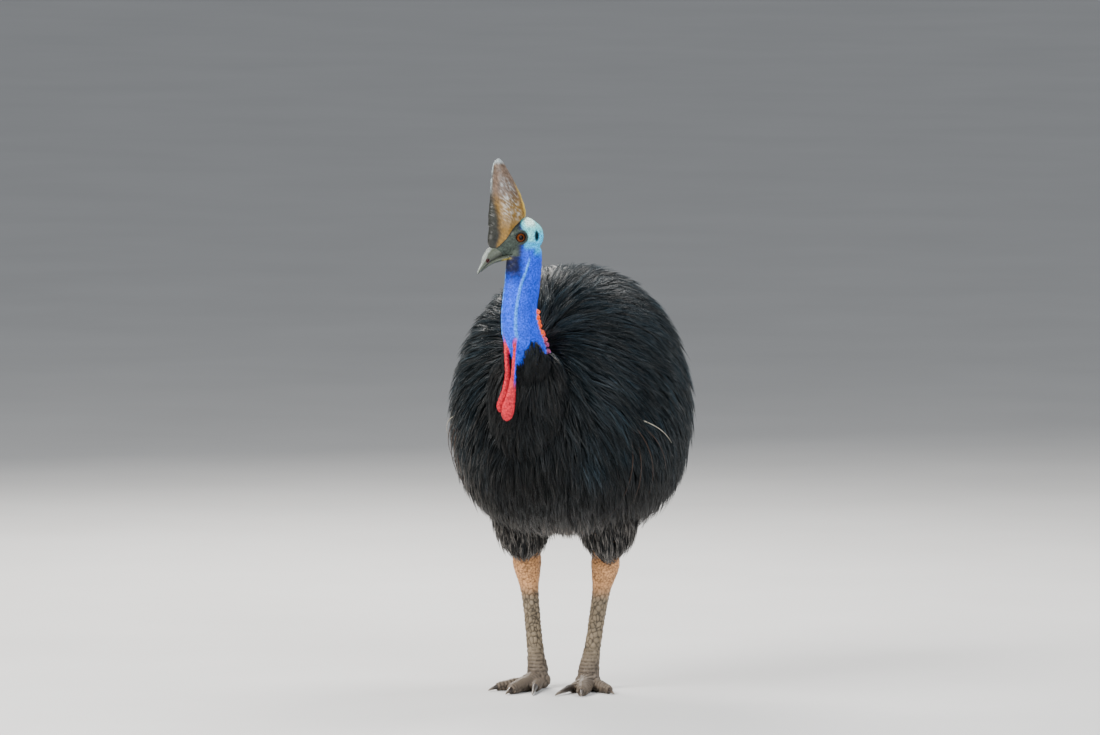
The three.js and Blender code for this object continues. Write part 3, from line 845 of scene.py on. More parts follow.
def leg_colours(colours, points, settings):
    """Ochre hocks, grey shanks and darker feet."""
    z = points[:, 2]
    leg = ease(420, 395, z) * ease(1.02, 1.06, torso.share(points))
    colours = over(colours, settings.hock, leg)
    colours = over(colours, settings.shank, leg * ease(275, 225, z))
    return over(colours, settings.foot, leg * ease(120, 40, z))


def neck_colours(colours, z, near_neck, front, settings):
    """A blue neck, cyan at the upper nape, and painted shade under the chin."""
    colours = over(colours, settings.neck_blue, near_neck)
    colours = over(colours, settings.throat_blue, near_neck * ease(0.1, 0.85, front) * 0.8)
    nape = near_neck * ease(-0.2, -0.9, front) * ease(1130, 1165, z) * 0.8
    colours = over(colours, settings.cyan, nape)
    # Painted shade under the chin, on the front of the upper neck.
    return over(colours, settings.chin_shade, near_neck * ease(0.3, 0.85, front) * ease(1060, 1112, z))


def head_colours(colours, points, settings):
    """A pale crown, a cyan cheek line and dark lores, with painted shade under the jaw, in the ears, round the lids
    and at the foot of the casque.
    """
    head = bird_to_head(points)
    hx, hy, hz = head.T
    in_head = ease(-70, -58, hz) * ease(90, 80, np.linalg.norm(head - (0, 0, 20), axis=1))
    colours = over(colours, settings.crown, in_head * ease(-22, -8, hz) * ease(2, 16, hy))
    cheek = np.exp(-(((hz + 20) / 9) ** 2)) * ease(8, 18, hy)
    nape = ease(26, 0, hz) * ease(30, 52, hy) * 0.85
    colours = over(colours, settings.cyan, in_head * np.maximum(cheek, nape))
    white = ease(20, 36, hz) * ease(56, 40, hy) * ease(14, 24, hy)
    colours = over(colours, settings.casque_foot, in_head * white * 0.8)
    eye_patch = ease(24, 19, np.hypot(hy - 2, (hz - 1) * 1.08))
    lores = np.maximum(eye_patch, ease(10, -10, hy) * ease(-50, -44, hz))
    colours = over(colours, settings.lores, in_head * lores)
    # Painted shade under the jaw, towards the bill.
    colours = over(colours, settings.chin_shade, in_head * ease(-44, -54, hz) * ease(4, -18, hy) * 0.85)
    yellow = 0.8 * np.exp(-(((hy + 26) / 6) ** 2) - ((hz + 52) / 3) ** 2)
    colours = over(colours, settings.bill_base, in_head * yellow)
    # Painted shade in the ear opening.
    ear = np.hypot(hy - EAR["centre"][1], (hz - EAR["centre"][2]) / 2)
    colours = over(colours, settings.under_coat_and_shade, in_head * ease(8.5, 5.5, ear) * 0.9)
    # Painted shade on the upper lid under the brow, and a thin ring of it in the crease where the lids meet the eye.
    lid = np.hypot(hy + EYE["ahead"], hz / LIDS["high"])
    colours = over(colours, settings.under_coat_and_shade, in_head * ease(20, 16, lid) * ease(-8, 6, hz) * 0.8)
    colours = over(colours, settings.under_coat_and_shade, in_head * ease(14.5, 13.5, lid) * 0.9)
    # Painted shade in the crease where the casque's foot meets the skin.
    middle, wide, deep = at_height(CASQUE, hz, 1, 3, 4)
    casque_edge = ease(1.14, 1.04, np.hypot(hx / wide, (hy - middle) / deep)) * ease(-30, -20, hz)
    return over(colours, settings.under_coat_and_shade, in_head * casque_edge * 0.75)


def throat_colours(colours, points, near_neck, settings):
    """Pale crests on the folds, and red wattles, the left one blue along its left edge above."""
    z = points[:, 2]
    for side in SIDES:
        folds = fold_stations(side)
        gap, share = distance_to_path(points, folds)
        crest = spline(folds[:, 3:4], share)[:, 0]
        on_fold = near_neck * ease(1.4, 0.7, gap / crest) * ease(1150, 1120, z) * ease(925, 950, z)
        colours = over(colours, settings.fold, on_fold)
        wattle = np.array(WATTLES[side], float)
        gap, share = distance_to_path(points, wattle)
        reach = spline(wattle[:, 3:4], share)[:, 0] + 3
        to_left = (points - spline(wattle[:, :3], share)) @ WATTLE_LEFT / reach
        bare = ease(0.05, 0.3, to_left) * ease(800, 840, z) * (side == "left")
        on_wattle = ease(1.15, 0.95, gap / reach) * ease(950, 915, z)
        colours = over(colours, settings.neck_blue, on_wattle * bare)
        colours = over(colours, settings.wattle, on_wattle * (1 - bare))
    return colours


def bulb_colours(colours, points, near_neck, settings):
    """Orange bulbs above and purple ones below, on paler skin."""
    bulbs = nape_bulbs()
    gaps = np.linalg.norm(points[:, None, :] - bulbs[None, :, :3], axis=2) - bulbs[None, :, 3]
    nearest, gap = bulbs[gaps.argmin(axis=1)], gaps.min(axis=1)
    on_bulb = ease(1.0, -0.4, gap)
    colours = over(colours, settings.fold, ease(5, 1.5, gap) * near_neck * 0.5)
    colours = over(colours, settings.bulb_low, on_bulb)
    return over(colours, settings.bulb_high, on_bulb * ease(915, 945, nearest[:, 2]))


def skin_colours(points, settings):
    """The skin's colours, from the toes to the crown."""
    colours = np.tile(np.array(settings.under_coat_and_shade), (len(points), 1))
    near_neck, front = neck_masks(points)
    colours = leg_colours(colours, points, settings)
    colours = neck_colours(colours, points[:, 2], near_neck, front, settings)
    colours = head_colours(colours, points, settings)
    colours = throat_colours(colours, points, near_neck, settings)
    return bulb_colours(colours, points, near_neck, settings)


def build_skin(settings):
    skin = build_head_skin(settings)
    combined(skin, build_body(settings), "UNION")
    combined(skin, build_legs(settings), "UNION")
    points = bird_points(skin)
    paint(skin, skin_colours(points, settings))
    mark(skin, ease(390, 330, points[:, 2]) * 0.85, "scaly")
    nodes = ["head", "neck", "neck_ruff", "torso"]
    nodes += [f"{part}_{side}" for part in ("wattle", "thigh", "shank", "foot") for side in SIDES]
    finished(skin, skin_finish(), nodes)


# Horn, bill, eyes and claws


def build_casque(settings):
    """The tall casque: rounded in front, thinner behind, wrinkled along its growth."""
    def narrow_back(turn):
        return 1 - 0.22 * np.maximum(0, -np.sin(turn)) * np.abs(np.cos(turn))

    casque = limb("casque_shell", CASQUE, facing_steady(FORWARD), 128, 160, 0.12, narrow_back, in_head=True)
    roughen(casque, np.ones(len(casque.data.vertices)), 1.4, 18.0)
    head = bird_to_head(bird_points(casque))
    hx, hy, hz = head.T
    slanted = np.column_stack([hy + hz, hy - hz, hx]) / CASQUE_GRAIN
    wrinkle = np.array([noise.noise(Vector(place)) for place in slanted])
    points = head + rows_to_unit(head - CASQUE_MIDDLE) * wrinkle[:, None] * 0.8
    move_points(casque, head_to_bird(points))
    middle, deep = at_height(CASQUE, hz, 1, 4)
    forward = (middle - hy) / deep
    colours = np.tile(np.array(settings.casque_side), (len(points), 1))
    colours = over(colours, settings.casque_top, ease(70, 125, hz))
    fibres = ease(-0.25, 0.5, wrinkle) * ease(30, 60, hz) * ease(165, 130, hz)
    fibres *= ease(0.75, 0.3, np.abs(forward + 0.1))
    colours = over(colours, settings.casque_edge, fibres * 0.4)
    front_band = forward - 0.35 * ease(30, 130, hz) + 0.2 * ease(30, 0, hz)
    colours = over(colours, settings.casque_front, ease(0.35, 0.75, front_band))
    colours = over(colours, settings.casque_rim, ease(-0.82, -0.97, forward) * ease(150, 100, hz) * 0.8)
    colours = over(colours, settings.casque_edge, ease(0.88, 1.0, forward) * ease(100, 140, hz) * 0.7)
    colours = over(colours, settings.casque_edge, ease(182, 194, hz) * 0.7)
    colours = colours * (1 + 0.55 * wrinkle)[:, None]
    paint(casque, np.clip(colours, 0, 1))
    finish = horn_finish("casque_horn", 0.42, 260, 0.3, (1.0, 1.0, 0.6), 0.15)
    finished(casque, finish, ["casque"])


def build_bill(settings):
    """Both halves of the bill, the upper one with its ridge and nostrils and a painted highlight along the ridge."""
    def ridged(turn):
        above = np.maximum(0, np.sin(turn))
        return 1 + 0.1 * above**6 - 0.07 * np.abs(np.cos(turn)) * above

    upper = limb("bill_upper", UPPER_BILL, UPWARD, 48, 48, 0.1, ridged, in_head=True)
    for sign in SIDES.values():
        slit = start_ball("nostril", 20, 12)
        c, s = math.cos(NOSTRIL["tilt"]), math.sin(NOSTRIL["tilt"])
        x, y, z = (raw_points(slit) * np.array(NOSTRIL["radii"])).T
        spun = np.column_stack([x, y * c - z * s, y * s + z * c])
        move_points(slit, head_to_bird(spun + np.array(NOSTRIL["centre"]) * (sign, 1, 1)))
        combined(upper, slit, "DIFFERENCE")
    lower = limb("bill_lower", LOWER_BILL, UPWARD, 40, 40, 0.12, in_head=True)
    horn = horn_finish("bill_horn", 0.42, 220, 0.3, (1.0, 1.0, 1.0), 0.05)
    for piece in (upper, lower):
        points = bird_points(piece)
        hx, hy, hz = bird_to_head(points).T
        path = np.array(UPPER_BILL if piece is upper else LOWER_BILL, float)
        middle = np.interp(-hy, -path[:, 1], path[:, 2])
        colours = np.tile(np.array(settings.bill), (len(points), 1))
        colours = over(colours, settings.bill_dark, ease(-0.2, -0.8, (hz - middle) / 12) * 0.8)
        if piece is upper:
            # The pale line along the top of the upper bill is a painted highlight, not wear.
            ridge = 0.5 * ease(0.95, 1.25, (hz - middle) / np.interp(-hy, -path[:, 1], path[:, 4]))
            colours = over(colours, settings.bill_ridge_highlight, ridge * ease(-60, -72, hy) * 0.8)
            slit = np.linalg.norm(np.column_stack([np.abs(hx), hy, hz]) - NOSTRIL["centre"], axis=1)
            colours = over(colours, settings.nostril, ease(6.5, 4, slit))
        else:
            colours = over(colours, settings.bill_base, ease(-44, -30, hy) * ease(-50, -57, hz) * 0.6)
        paint(piece, colours)
        finished(piece, horn, ["upper_bill" if piece is upper else "lower_bill"])


def build_eyes(settings):
    """Two glossy eyeballs with a pupil and an iris."""
    finish = eye_finish(settings)
    for side, sign in SIDES.items():
        ball = start_ball(f"eyeball_{side}", 64, 40)
        unit = raw_points(ball)
        gaze = np.arccos(np.clip(unit[:, 2], -1, 1)) / math.radians(60)
        points = np.column_stack([sign * unit[:, 2], -unit[:, 0] * sign, unit[:, 1]]) * EYE["radius"]
        points += np.array([sign * EYE["side"], -EYE["ahead"], 0])
        move_points(ball, head_to_bird(points))
        mark(ball, np.clip(gaze, 0, 1), "gaze")
        finished(turn_outwards(ball), finish, [f"eye_{side}"])


def build_claws(settings):
    """One claw on each toe; the inner one is a long dagger."""
    finish = horn_finish("claw_horn", 0.35, 260, 0.35, (1.0, 1.0, 1.0), 0.3)
    for side, sign in SIDES.items():
        for toe_name, toe in TOES.items():
            claw = limb(f"talon_{toe_name}_{side}", claw_stations(sign, toe), UPWARD, 24, 32, 0.1)
            points = bird_points(claw)
            points[:, 2] = np.maximum(points[:, 2], 0)
            move_points(claw, points)
            way, ankle = toe_way(sign, toe)
            share = ((points[:, :2] - ankle) @ way - toe["reach"]) / toe["claw"]
            colours = np.tile(np.array(settings.claw), (len(points), 1))
            paint(claw, over(colours, settings.claw_tip, ease(0.45, 1.0, share) * 0.7))
            finished(claw, finish, [f"claw_{toe_name}_{side}"])


# Plumage


def in_neck(points, margin):
    """Whether points lie inside the neck's skin, widened to margin times its girth."""
    x, y, wide, deep = at_height(NECK, points[:, 2], 0, 1, 3, 4)
    apart = np.hypot((points[:, 0] - x) / wide, (points[:, 1] - y) / deep)
    return (apart < margin) & (points[:, 2] > NECK[-1][2] - 15)


def rearward(points):
    """How far back points of the body are, from 0 at the breast to 1 at the rump."""
    return np.clip((points[:, 1] + 300) / 650, 0, 1)


def body_flow(points):
    away = rows_to_unit(points - NECK_FOOT)
    droop = -0.75 - 1.1 * rearward(points) ** 2
    return away + np.column_stack([np.zeros(len(points)), np.full(len(points), 0.35), droop])


def ruff_flow(points):
    away = points - ruff.centre
    return np.column_stack([away[:, 0], away[:, 1] * 0.6, np.full(len(points), -130.0)])


def thigh_flow(points):
    return np.tile(np.array([0.0, 0.22, -1.0]), (len(points), 1))


# How deep under the skin the strands start.
ROOT_DEPTH = 4


def waves(points, length, seed):
    """A slow wave over the body, from -1 to 1, that parts the coat into streams."""
    random = np.random.default_rng(seed)
    total = np.zeros(len(points))
    for _ in range(4):
        way = random.normal(size=3)
        total += np.sin(points @ way / np.linalg.norm(way) * 2 * math.pi / length + random.uniform(0, 6.28))
    return total / 4


def stream_paths(mass, roots, flow, long, lift, yaw, steps=8):
    """Paths that leave the skin at the roots and lie along the flow: places, sides and normals."""
    place, heading = mass.onto(roots), None
    paths, sides, normals = [], [], []
    for i in range(steps + 1):
        normal = mass.normal(place)
        lie = flow(place)
        lie = rows_to_unit(lie - normal * (lie * normal).sum(axis=1, keepdims=True))
        side = np.cross(lie, normal)
        lie = lie * np.cos(yaw)[:, None] + side * np.sin(yaw)[:, None]
        heading = lie if heading is None else rows_to_unit(heading + lie)
        height = -ROOT_DEPTH + (lift + ROOT_DEPTH) * (i / steps) ** 0.7
        paths.append(place + normal * height[:, None])
        sides.append(rows_to_unit(np.cross(heading, normal)))
        normals.append(normal)
        ahead = place + heading * (long / steps)[:, None]
        hangs = (mass.normal(ahead)[:, 2] < -0.3) & (mass.share(ahead) > 1)
        heading = np.where(hangs[:, None], rows_to_unit(heading + np.array([0, 0, -0.35])), heading)
        place = np.where(hangs[:, None], ahead, mass.onto(ahead))
    return np.array(paths), np.array(sides), np.array(normals)


# A strand: four rings of three corners and a tip, with each ring's place along it and girth.
NODE_SHARES = np.array([0.0, 0.27, 0.54, 0.79, 1.0])
NODE_GIRTHS = np.array([0.7, 1.0, 0.85, 0.5])
CORNERS = np.radians([90, 210, 330])
ALONG = np.append(np.repeat(NODE_SHARES[:4], 3), 1.0)
STRAND_POINTS = len(ALONG)

# The side of a strand's patch on its bake map, as a share of the map.
PATCH = 0.003


def strand_faces(count):
    """Loops and face starts of three-sided strands."""
    quads = [
        (3 * j + k, 3 * j + 3 + k, 3 * j + 3 + (k + 1) % 3, 3 * j + (k + 1) % 3)
        for j in range(3) for k in range(3)
    ]
    tips = [(9 + k, 12, 9 + (k + 1) % 3) for k in range(3)]
    faces = quads + tips + [(0, 1, 2)]
    loops = np.concatenate([np.array(f) for f in faces])
    starts = np.cumsum([0] + [len(f) for f in faces[:-1]])
    offset = np.arange(count)[:, None]
    return (loops + STRAND_POINTS * offset).ravel(), (starts + len(loops) * offset).ravel()


def mesh_of_strands(name, points, colours, unwrap):
    """One mesh of many strands: points (strand, point, xyz), colours alike, unwrap (strand, uv)."""
    count = len(points)
    loops, starts = strand_faces(count)
    mesh = bpy.data.meshes.new(name)
    mesh.vertices.add(count * STRAND_POINTS)
    mesh.vertices.foreach_set("co", placed(points.reshape(-1, 3)).ravel())
    mesh.loops.add(len(loops))
    mesh.loops.foreach_set("vertex_index", loops.astype(np.int32))
    mesh.polygons.add(len(starts))
    mesh.polygons.foreach_set("loop_start", starts.astype(np.int32))
    mesh.update(calc_edges=True)
    piece = bpy.data.objects.new(name, mesh)
    bpy.context.scene.collection.objects.link(piece)
    paint(piece, colours.reshape(-1, 3))
    across = np.append(np.tile([0.0, -0.5, 0.5], 4), 0.0)
    spots = unwrap[:, None, :] + (np.column_stack([across, ALONG]) * PATCH)[None, :, :]
    layer = mesh.uv_layers.new(name="OFBake")
    layer.uv.foreach_set("vector", spots.reshape(-1, 2)[loops].astype(np.float32).ravel())
    return piece


def clump_roots(mass, clumps, keep, look, random):
    """Roots spread evenly over a mass on a spiral from its top, then scattered a little."""
    index = np.arange(clumps)
    height = 1 - (2 * index + 1) / clumps
    ring = np.sqrt(1 - height**2)
    angle = math.pi * (3 - math.sqrt(5)) * index
    roots = mass.towards(np.column_stack([ring * np.cos(angle), ring * np.sin(angle), height]))
    roots = mass.onto(roots + random.normal(0, look.root_scatter, roots.shape))
    return roots[keep(roots)]


def strand_points(streams, which, look, fineness, random):
    """Points of every strand, spread round the path of the clump that it belongs to."""
    paths, sides, normals = streams
    total = len(which)
    spread = random.normal(0, look.clump_radius, (total, 2))
    shares = NODE_SHARES[None, :] * random.uniform(0.72, 1.0, total)[:, None]
    steps = len(paths) - 1
    low = np.minimum((shares * steps).astype(int), steps - 1)
    part = (shares * steps - low)[:, :, None]
    owner = which[:, None]
    middle = paths[low, owner] * (1 - part) + paths[low + 1, owner] * part
    side, normal = sides[low, owner], normals[low, owner]
    closing = 1 - 0.55 * shares[:, :, None]
    curl = random.normal(0, 2.0, (total, 1, 1)) * np.sin(shares[:, :, None] * 6.0)
    middle = middle + side * (spread[:, None, :1] * closing + curl)
    middle = middle + normal * (spread[:, None, 1:] * 0.35 * closing)
    width = look.strand_width / 2 / fineness * random.uniform(0.7, 1.3, total)
    rings = []
    for node, girth in enumerate(NODE_GIRTHS):
        for corner in CORNERS:
            offset = side[:, node] * (width * girth * math.cos(corner))[:, None]
            offset += normal[:, node] * (width * girth * 0.6 * math.sin(corner))[:, None]
            rings.append(middle[:, node] + offset)
    rings.append(middle[:, 4])
    points = np.stack(rings, axis=1)
    points[:, :, 2] = np.maximum(points[:, :, 2], 1.0)
    return points


def grow_coat(mass, clumps, flow, sizes, keep, look, seed, fineness=1.0):
    """Strands in clumps, rooted evenly over a mass: points, colours, unwrap places and roots."""
    random = np.random.default_rng(seed)
    roots = clump_roots(mass, clumps, keep, look, random)
    long, lift = sizes(roots)
    long = long * random.uniform(0.72, 1.18, len(roots))
    lift = lift * random.uniform(0.62, 1.12, len(roots))
    yaw = 0.3 * waves(roots, 90, seed) + 0.22 * waves(roots, 34, seed + 1) + random.normal(0, 0.1, len(roots))
    streams = stream_paths(mass, roots, flow, long, lift, yaw)
    which = np.repeat(np.arange(len(roots)), look.strands_per_clump)
    points = strand_points(streams, which, look, fineness, random)
    tones = waves(roots, 70, seed + 2) * 1.3 + random.normal(0, 0.5, len(roots))
    tone = tones[which] + random.normal(0, 0.6, len(which))
    colours = plumage_colours(points, tone, random.uniform(0, 1, len(which)), look)
    return points, colours, mass.unwrapped(roots)[which], roots[which]


def plumage_colours(points, tone, chance, look):
    """Blue-black strands, browner on the ruff and belly, with pale tips: bleached by wear low round the body, and
    painted sunlight on the bird's right lower flank.
    """
    x, y, z = (points[:, :, i] for i in range(3))
    shape = points.shape
    base = np.tile(np.array(look.plumage), (shape[0], shape[1], 1))
    flat = base.reshape(-1, 3)
    brown = ease(620, 480, z) * 0.8 + ease(-300, -380, y) * ease(930, 860, z) * 0.7
    flat = over(flat, look.plumage_brown, brown.ravel())
    bright = np.exp(tone * 0.62)[:, None] * (0.65 + 0.6 * ALONG)[None, :]
    flat = flat * bright.reshape(-1, 1)
    # Pale tips: the low band round the body is wear; the bird's right lower flank, towards the front, adds painted
    # sunlight.
    fringe_and_sunlit_flank = ease(480, 390, z) * 0.6 + 0.8 * ease(-70, -290, x) * ease(820, 480, z) * ease(240, -60, y)
    wear_and_sunlight = (fringe_and_sunlit_flank + 0.07) * ease(0.4, 1.0, ALONG)[None, :] * ease(0.4, 0.95, chance)[:, None]
    return over(flat, look.worn_and_sunlit_tip, wear_and_sunlight.ravel()).reshape(shape)


def steepness(points):
    """How steeply the body's flow meets the skin: 0 where it lies along it, 1 where it runs straight in."""
    return np.abs((rows_to_unit(body_flow(points)) * torso.normal(points)).sum(axis=1))


def keep_torso(points):
    clear = (ruff.share(points) > 1.02) & ~in_neck(points, 1.2)
    clear &= steepness(points) < 0.97
    for thigh in thighs.values():
        clear &= thigh.share(points) > 1.0
    return clear


def keep_collar(points):
    """Feathers start lowest at throat and nape, and rise to a peak on each side."""
    x, y, z = points.T
    axis = COLLAR["centre"][1] - COLLAR["lean"] * (z - COLLAR["centre"][2])
    round_neck = np.abs(np.degrees(np.arctan2(x - COLLAR["centre"][0], axis - y)) + THROAT_TURN)
    return (z > 820) & (z < np.interp(round_neck, list(HAIRLINE), list(HAIRLINE.values())))


def keep_ruff(points):
    return (torso.share(points) > 0.9) & ~in_neck(points, 1.02)


def keep_thigh(points):
    return (torso.share(points) > 0.93) & (points[:, 2] > 378)


def torso_sizes(points):
    """Lengths and lifts: longer towards the rump, shorter below and where the flow meets the skin."""
    back = rearward(points)
    below = ease(560, 450, points[:, 2])
    long = (118 + 80 * back - 25 * below) * (1 - 0.6 * ease(0.7, 0.95, steepness(points)))
    lift = TORSO["coat"] - 1 + 20 * back**2
    return long, lift * (1 - 0.25 * below)


def thigh_sizes(points):
    return 72.0 - 14 * waves(points, 45, 5), np.full(len(points), THIGH["coat"] - 2.0)


def even_sizes(long, lift):
    """The same length and lift for every clump."""
    return lambda points: (np.full(len(points), long), np.full(len(points), lift))


def build_torso_coat(look):
    """The body's coat, in sectors round the bird so that each piece stays light."""
    points, colours, unwrap, roots = grow_coat(
        torso, look.torso_clumps, body_flow, torso_sizes, keep_torso, look, SEEDS["torso"],
    )
    finish = coat_finish("body_plumage")
    angle = np.arctan2(roots[:, 0], -(roots[:, 1] - TORSO["centre"][1]))
    order = np.argsort(angle, kind="stable")
    names = ["rear_right", "flank_right", "breast_right", "breast_left", "flank_left", "rear_left"]
    for name, part in zip(names, np.array_split(order, len(names))):
        piece = mesh_of_strands(f"coat_{name}", points[part], colours[part], unwrap[part])
        finished(piece, finish)


def build_coat(name, finish, *growth, **options):
    """One piece of plumage, grown as grow_coat says."""
    points, colours, unwrap, _ = grow_coat(*growth, **options)
    finished(mesh_of_strands(name, points, colours, unwrap), finish)


def build_ruff_coat(look):
    """The feathered foot of the neck, and the collar where its feathers begin."""
    finish = coat_finish("ruff_plumage")
    build_coat(
        "coat_ruff", finish, ruff, look.ruff_clumps, ruff_flow, even_sizes(105.0, RUFF["coat"] - 3.0),
        keep_ruff, look, SEEDS["ruff"],
    )
    build_coat(
        "coat_collar", finish, collar, look.collar_clumps, ruff_flow, even_sizes(56.0, COLLAR["coat"] - 4.0),
        keep_collar, look, SEEDS["collar"], fineness=1.5,
    )


def build_thigh_coats(look):
    """The feathered thighs, down to the hocks."""
    finish = coat_finish("thigh_plumage")
    for number, (side, thigh) in enumerate(thighs.items()):
        build_coat(
            f"coat_thigh_{side}", finish, thigh, look.thigh_clumps, thigh_flow, thigh_sizes,
            keep_thigh, look, SEEDS["thigh"] + number,
        )


def build_quills(settings):
    """Each wing: bare quills that rise from under the skin and lie over the flank."""
    finish = horn_finish("quill_shaft", 0.4, 120, 0.2, (1.0, 1.0, 1.0))
    for side, sign in SIDES.items():
        root = torso.towards(np.array([WING["root"]]) * (sign, 1, 1))
        normal = torso.normal(root)[0]
        parts = []
        for i in range(WING["quills"]):
            spread = i / (WING["quills"] - 1)
            place, path = root, []
            for step, height in enumerate(WING["heights"]):
                out = torso.normal(place)
                path.append(place[0] + out[0] * height)
                way = np.array([[0, 1 - 0.95 * spread, -0.35 - 0.65 * spread - 0.06 * step]])
                way = rows_to_unit(way - out * (way * out).sum())
                place = torso.onto(place + way * WING["long"] * (0.8 + 0.6 * spread) / (len(WING["heights"]) - 1))
            girths = WING["girth"] * 0.6 * (1 - 0.8 * np.linspace(0, 1, len(path)))
            stations = np.column_stack([np.array(path), girths, girths])
            part = limb("quill", stations, facing_steady(normal), 10, 40, 0.05)
            colour = settings.pale_quill if i == 0 else settings.quill
            paint(part, np.tile(np.array(colour), (len(part.data.vertices), 1)))
            parts.append(part)
        quills = joined(f"quills_{side}", parts)
        finished(quills, finish, [f"wing_{side}"])


# Stage


def lay_floor():
    """A plain pale floor."""
    bpy.ops.object.select_all(action="DESELECT")
    bpy.ops.mesh.primitive_plane_add(size=FLOOR_SIDE)
    floor = bpy.context.object
    floor.name = "floor"
    material, tree, shader = new_finish("floor", Roughness=0.85)
    tone = ramp(tree, noise_at(tree, 1.5), [(0.3, grey(0.62)), (0.7, grey(0.66))])
    tree.links.new(tone, shader.inputs["Base Color"])
    floor.data.materials.append(material)


def light_stage(settings):
    """An even pale light all round, and four large soft lights."""
    world = bpy.context.scene.world or bpy.data.worlds.new("World")
    bpy.context.scene.world = world
    world.use_nodes = True
    sky = world.node_tree.nodes["Background"]
    sky.inputs["Color"].default_value = (0.86, 0.9, 0.95, 1)
    sky.inputs["Strength"].default_value = settings.sky
    for name, (place, size, share, colour) in LIGHTS.items():
        bpy.ops.object.light_add(type="AREA", location=place)
        light = bpy.context.object
        light.name = name
        light.data.size = size
        light.data.energy = settings.key * share
        light.data.color = colour
        aim = Vector(LIGHT_TARGET) - Vector(place)
        light.rotation_euler = aim.to_track_quat("-Z", "Y").to_euler()


def place_camera():
    """The camera at the photograph's angle, so far off that the view hardly narrows."""
    turn, tilt = math.radians(VIEW["azimuth"]), math.radians(VIEW["elevation"])
    back = np.array([math.sin(turn) * math.cos(tilt), -math.cos(turn) * math.cos(tilt), math.sin(tilt)])
    right = np.array([math.cos(turn), math.sin(turn), 0])
    upright = np.cross(back, right)
    aim = right * VIEW["across"] + upright * VIEW["height"]
    bpy.ops.object.camera_add(location=Vector(placed(aim + back * VIEW["distance"])))
    camera = bpy.context.object
    camera.rotation_euler = Vector(-back).to_track_quat("-Z", "Y").to_euler()
    camera.data.sensor_width = SENSOR
    camera.data.lens = SENSOR * VIEW["distance"] / VIEW["width"]
    camera.data.clip_end = 1000
    bpy.context.scene.camera = camera


def build_stage(settings):
    """A pale floor, soft lights and the camera."""
    lay_floor()
    light_stage(settings)
    place_camera()


# Settings, operators and panel


def colour_setting(name, description, red, green, blue):
    return bpy.props.FloatVectorProperty(
        name=name, description=description, default=srgb(red, green, blue), subtype="COLOR", min=0, max=1,
    )


class SkinSettings(bpy.types.PropertyGroup):
    """Sizes and colours of the bare skin."""

    head_voxel: bpy.props.FloatProperty(name="Head detail", description="Mesh size, in mm", default=2.1)
    leg_voxel: bpy.props.FloatProperty(name="Leg detail", description="Mesh size, in mm", default=2.2)
    body_voxel: bpy.props.FloatProperty(name="Body detail", description="Mesh size, in mm", default=10.0)
    # Dark skin under the coat; the same colour is also painted as shade in the ears, round the lids and at the
    # casque's foot.
    under_coat_and_shade: colour_setting("Under the coat", "Skin that the feathers hide", 0.05, 0.055, 0.06)
    hock: colour_setting("Hock", "Skin round the hocks", 0.74, 0.54, 0.36)
    shank: colour_setting("Shank", "Skin of the shanks", 0.44, 0.39, 0.32)
    foot: colour_setting("Foot", "Skin of the feet", 0.36, 0.32, 0.28)
    neck_blue: colour_setting("Neck", "Sides of the neck", 0.0, 0.25, 0.86)
    throat_blue: colour_setting("Throat", "Front of the neck", 0.05, 0.27, 0.86)
    cyan: colour_setting("Cyan", "Cheek line and upper nape", 0.12, 0.66, 0.86)
    casque_foot: colour_setting("Casque foot", "Pale skin behind the casque", 0.86, 0.97, 0.90)
    crown: colour_setting("Crown", "Back of the head", 0.42, 0.82, 0.84)
    lores: colour_setting("Lores", "Round the eye and in front of it", 0.20, 0.235, 0.21)
    # Painted shade under the chin and jaw.
    chin_shade: colour_setting("Under the chin", "Shaded skin below the bill", 0.03, 0.06, 0.20)
    bill_base: colour_setting("Bill base", "Yellow at the foot of the lower bill", 0.80, 0.72, 0.22)
    fold: colour_setting("Fold", "Pale crests of the folds", 0.22, 0.56, 0.95)
    wattle: colour_setting("Wattle", "Wattles", 0.72, 0.12, 0.18)
    bulb_high: colour_setting("Upper bulbs", "Nape bulbs nearer the head", 0.98, 0.34, 0.06)
    bulb_low: colour_setting("Lower bulbs", "Nape bulbs nearer the body", 0.60, 0.26, 0.40)


class HornSettings(bpy.types.PropertyGroup):
    """Colours of casque, bill, claws, eyes and quills."""

    casque_side: colour_setting("Casque side", "Sides and back of the casque", 0.47, 0.35, 0.13)
    casque_top: colour_setting("Casque top", "Upper casque", 0.38, 0.31, 0.26)
    casque_front: colour_setting("Casque front", "Front of the casque", 0.13, 0.135, 0.12)
    casque_rim: colour_setting("Casque rim", "Rear edge of the casque", 0.74, 0.62, 0.26)
    casque_edge: colour_setting("Casque edge", "Worn front edge near the tip", 0.62, 0.68, 0.70)
    bill: colour_setting("Bill", "Bill", 0.27, 0.29, 0.25)
    bill_dark: colour_setting("Bill underside", "Lower part of the bill", 0.17, 0.18, 0.16)
    # Painted highlight along the bill's ridge, not wear.
    bill_ridge_highlight: colour_setting("Bill ridge", "Worn ridge of the bill", 0.66, 0.69, 0.68)
    bill_base: colour_setting("Bill base", "Yellow at the foot of the lower bill", 0.78, 0.70, 0.25)
    nostril: colour_setting("Nostril", "Inside the nostrils", 0.20, 0.05, 0.05)
    iris: colour_setting("Iris", "Ring of the eye", 0.40, 0.20, 0.08)
    claw: colour_setting("Claw", "Root of the claws", 0.20, 0.17, 0.15)
    claw_tip: colour_setting("Claw tip", "Worn tips of the claws", 0.48, 0.43, 0.38)
    quill: colour_setting("Quill", "Wing quills", 0.22, 0.15, 0.11)
    pale_quill: colour_setting("Pale quill", "Worn wing quills", 0.62, 0.60, 0.54)


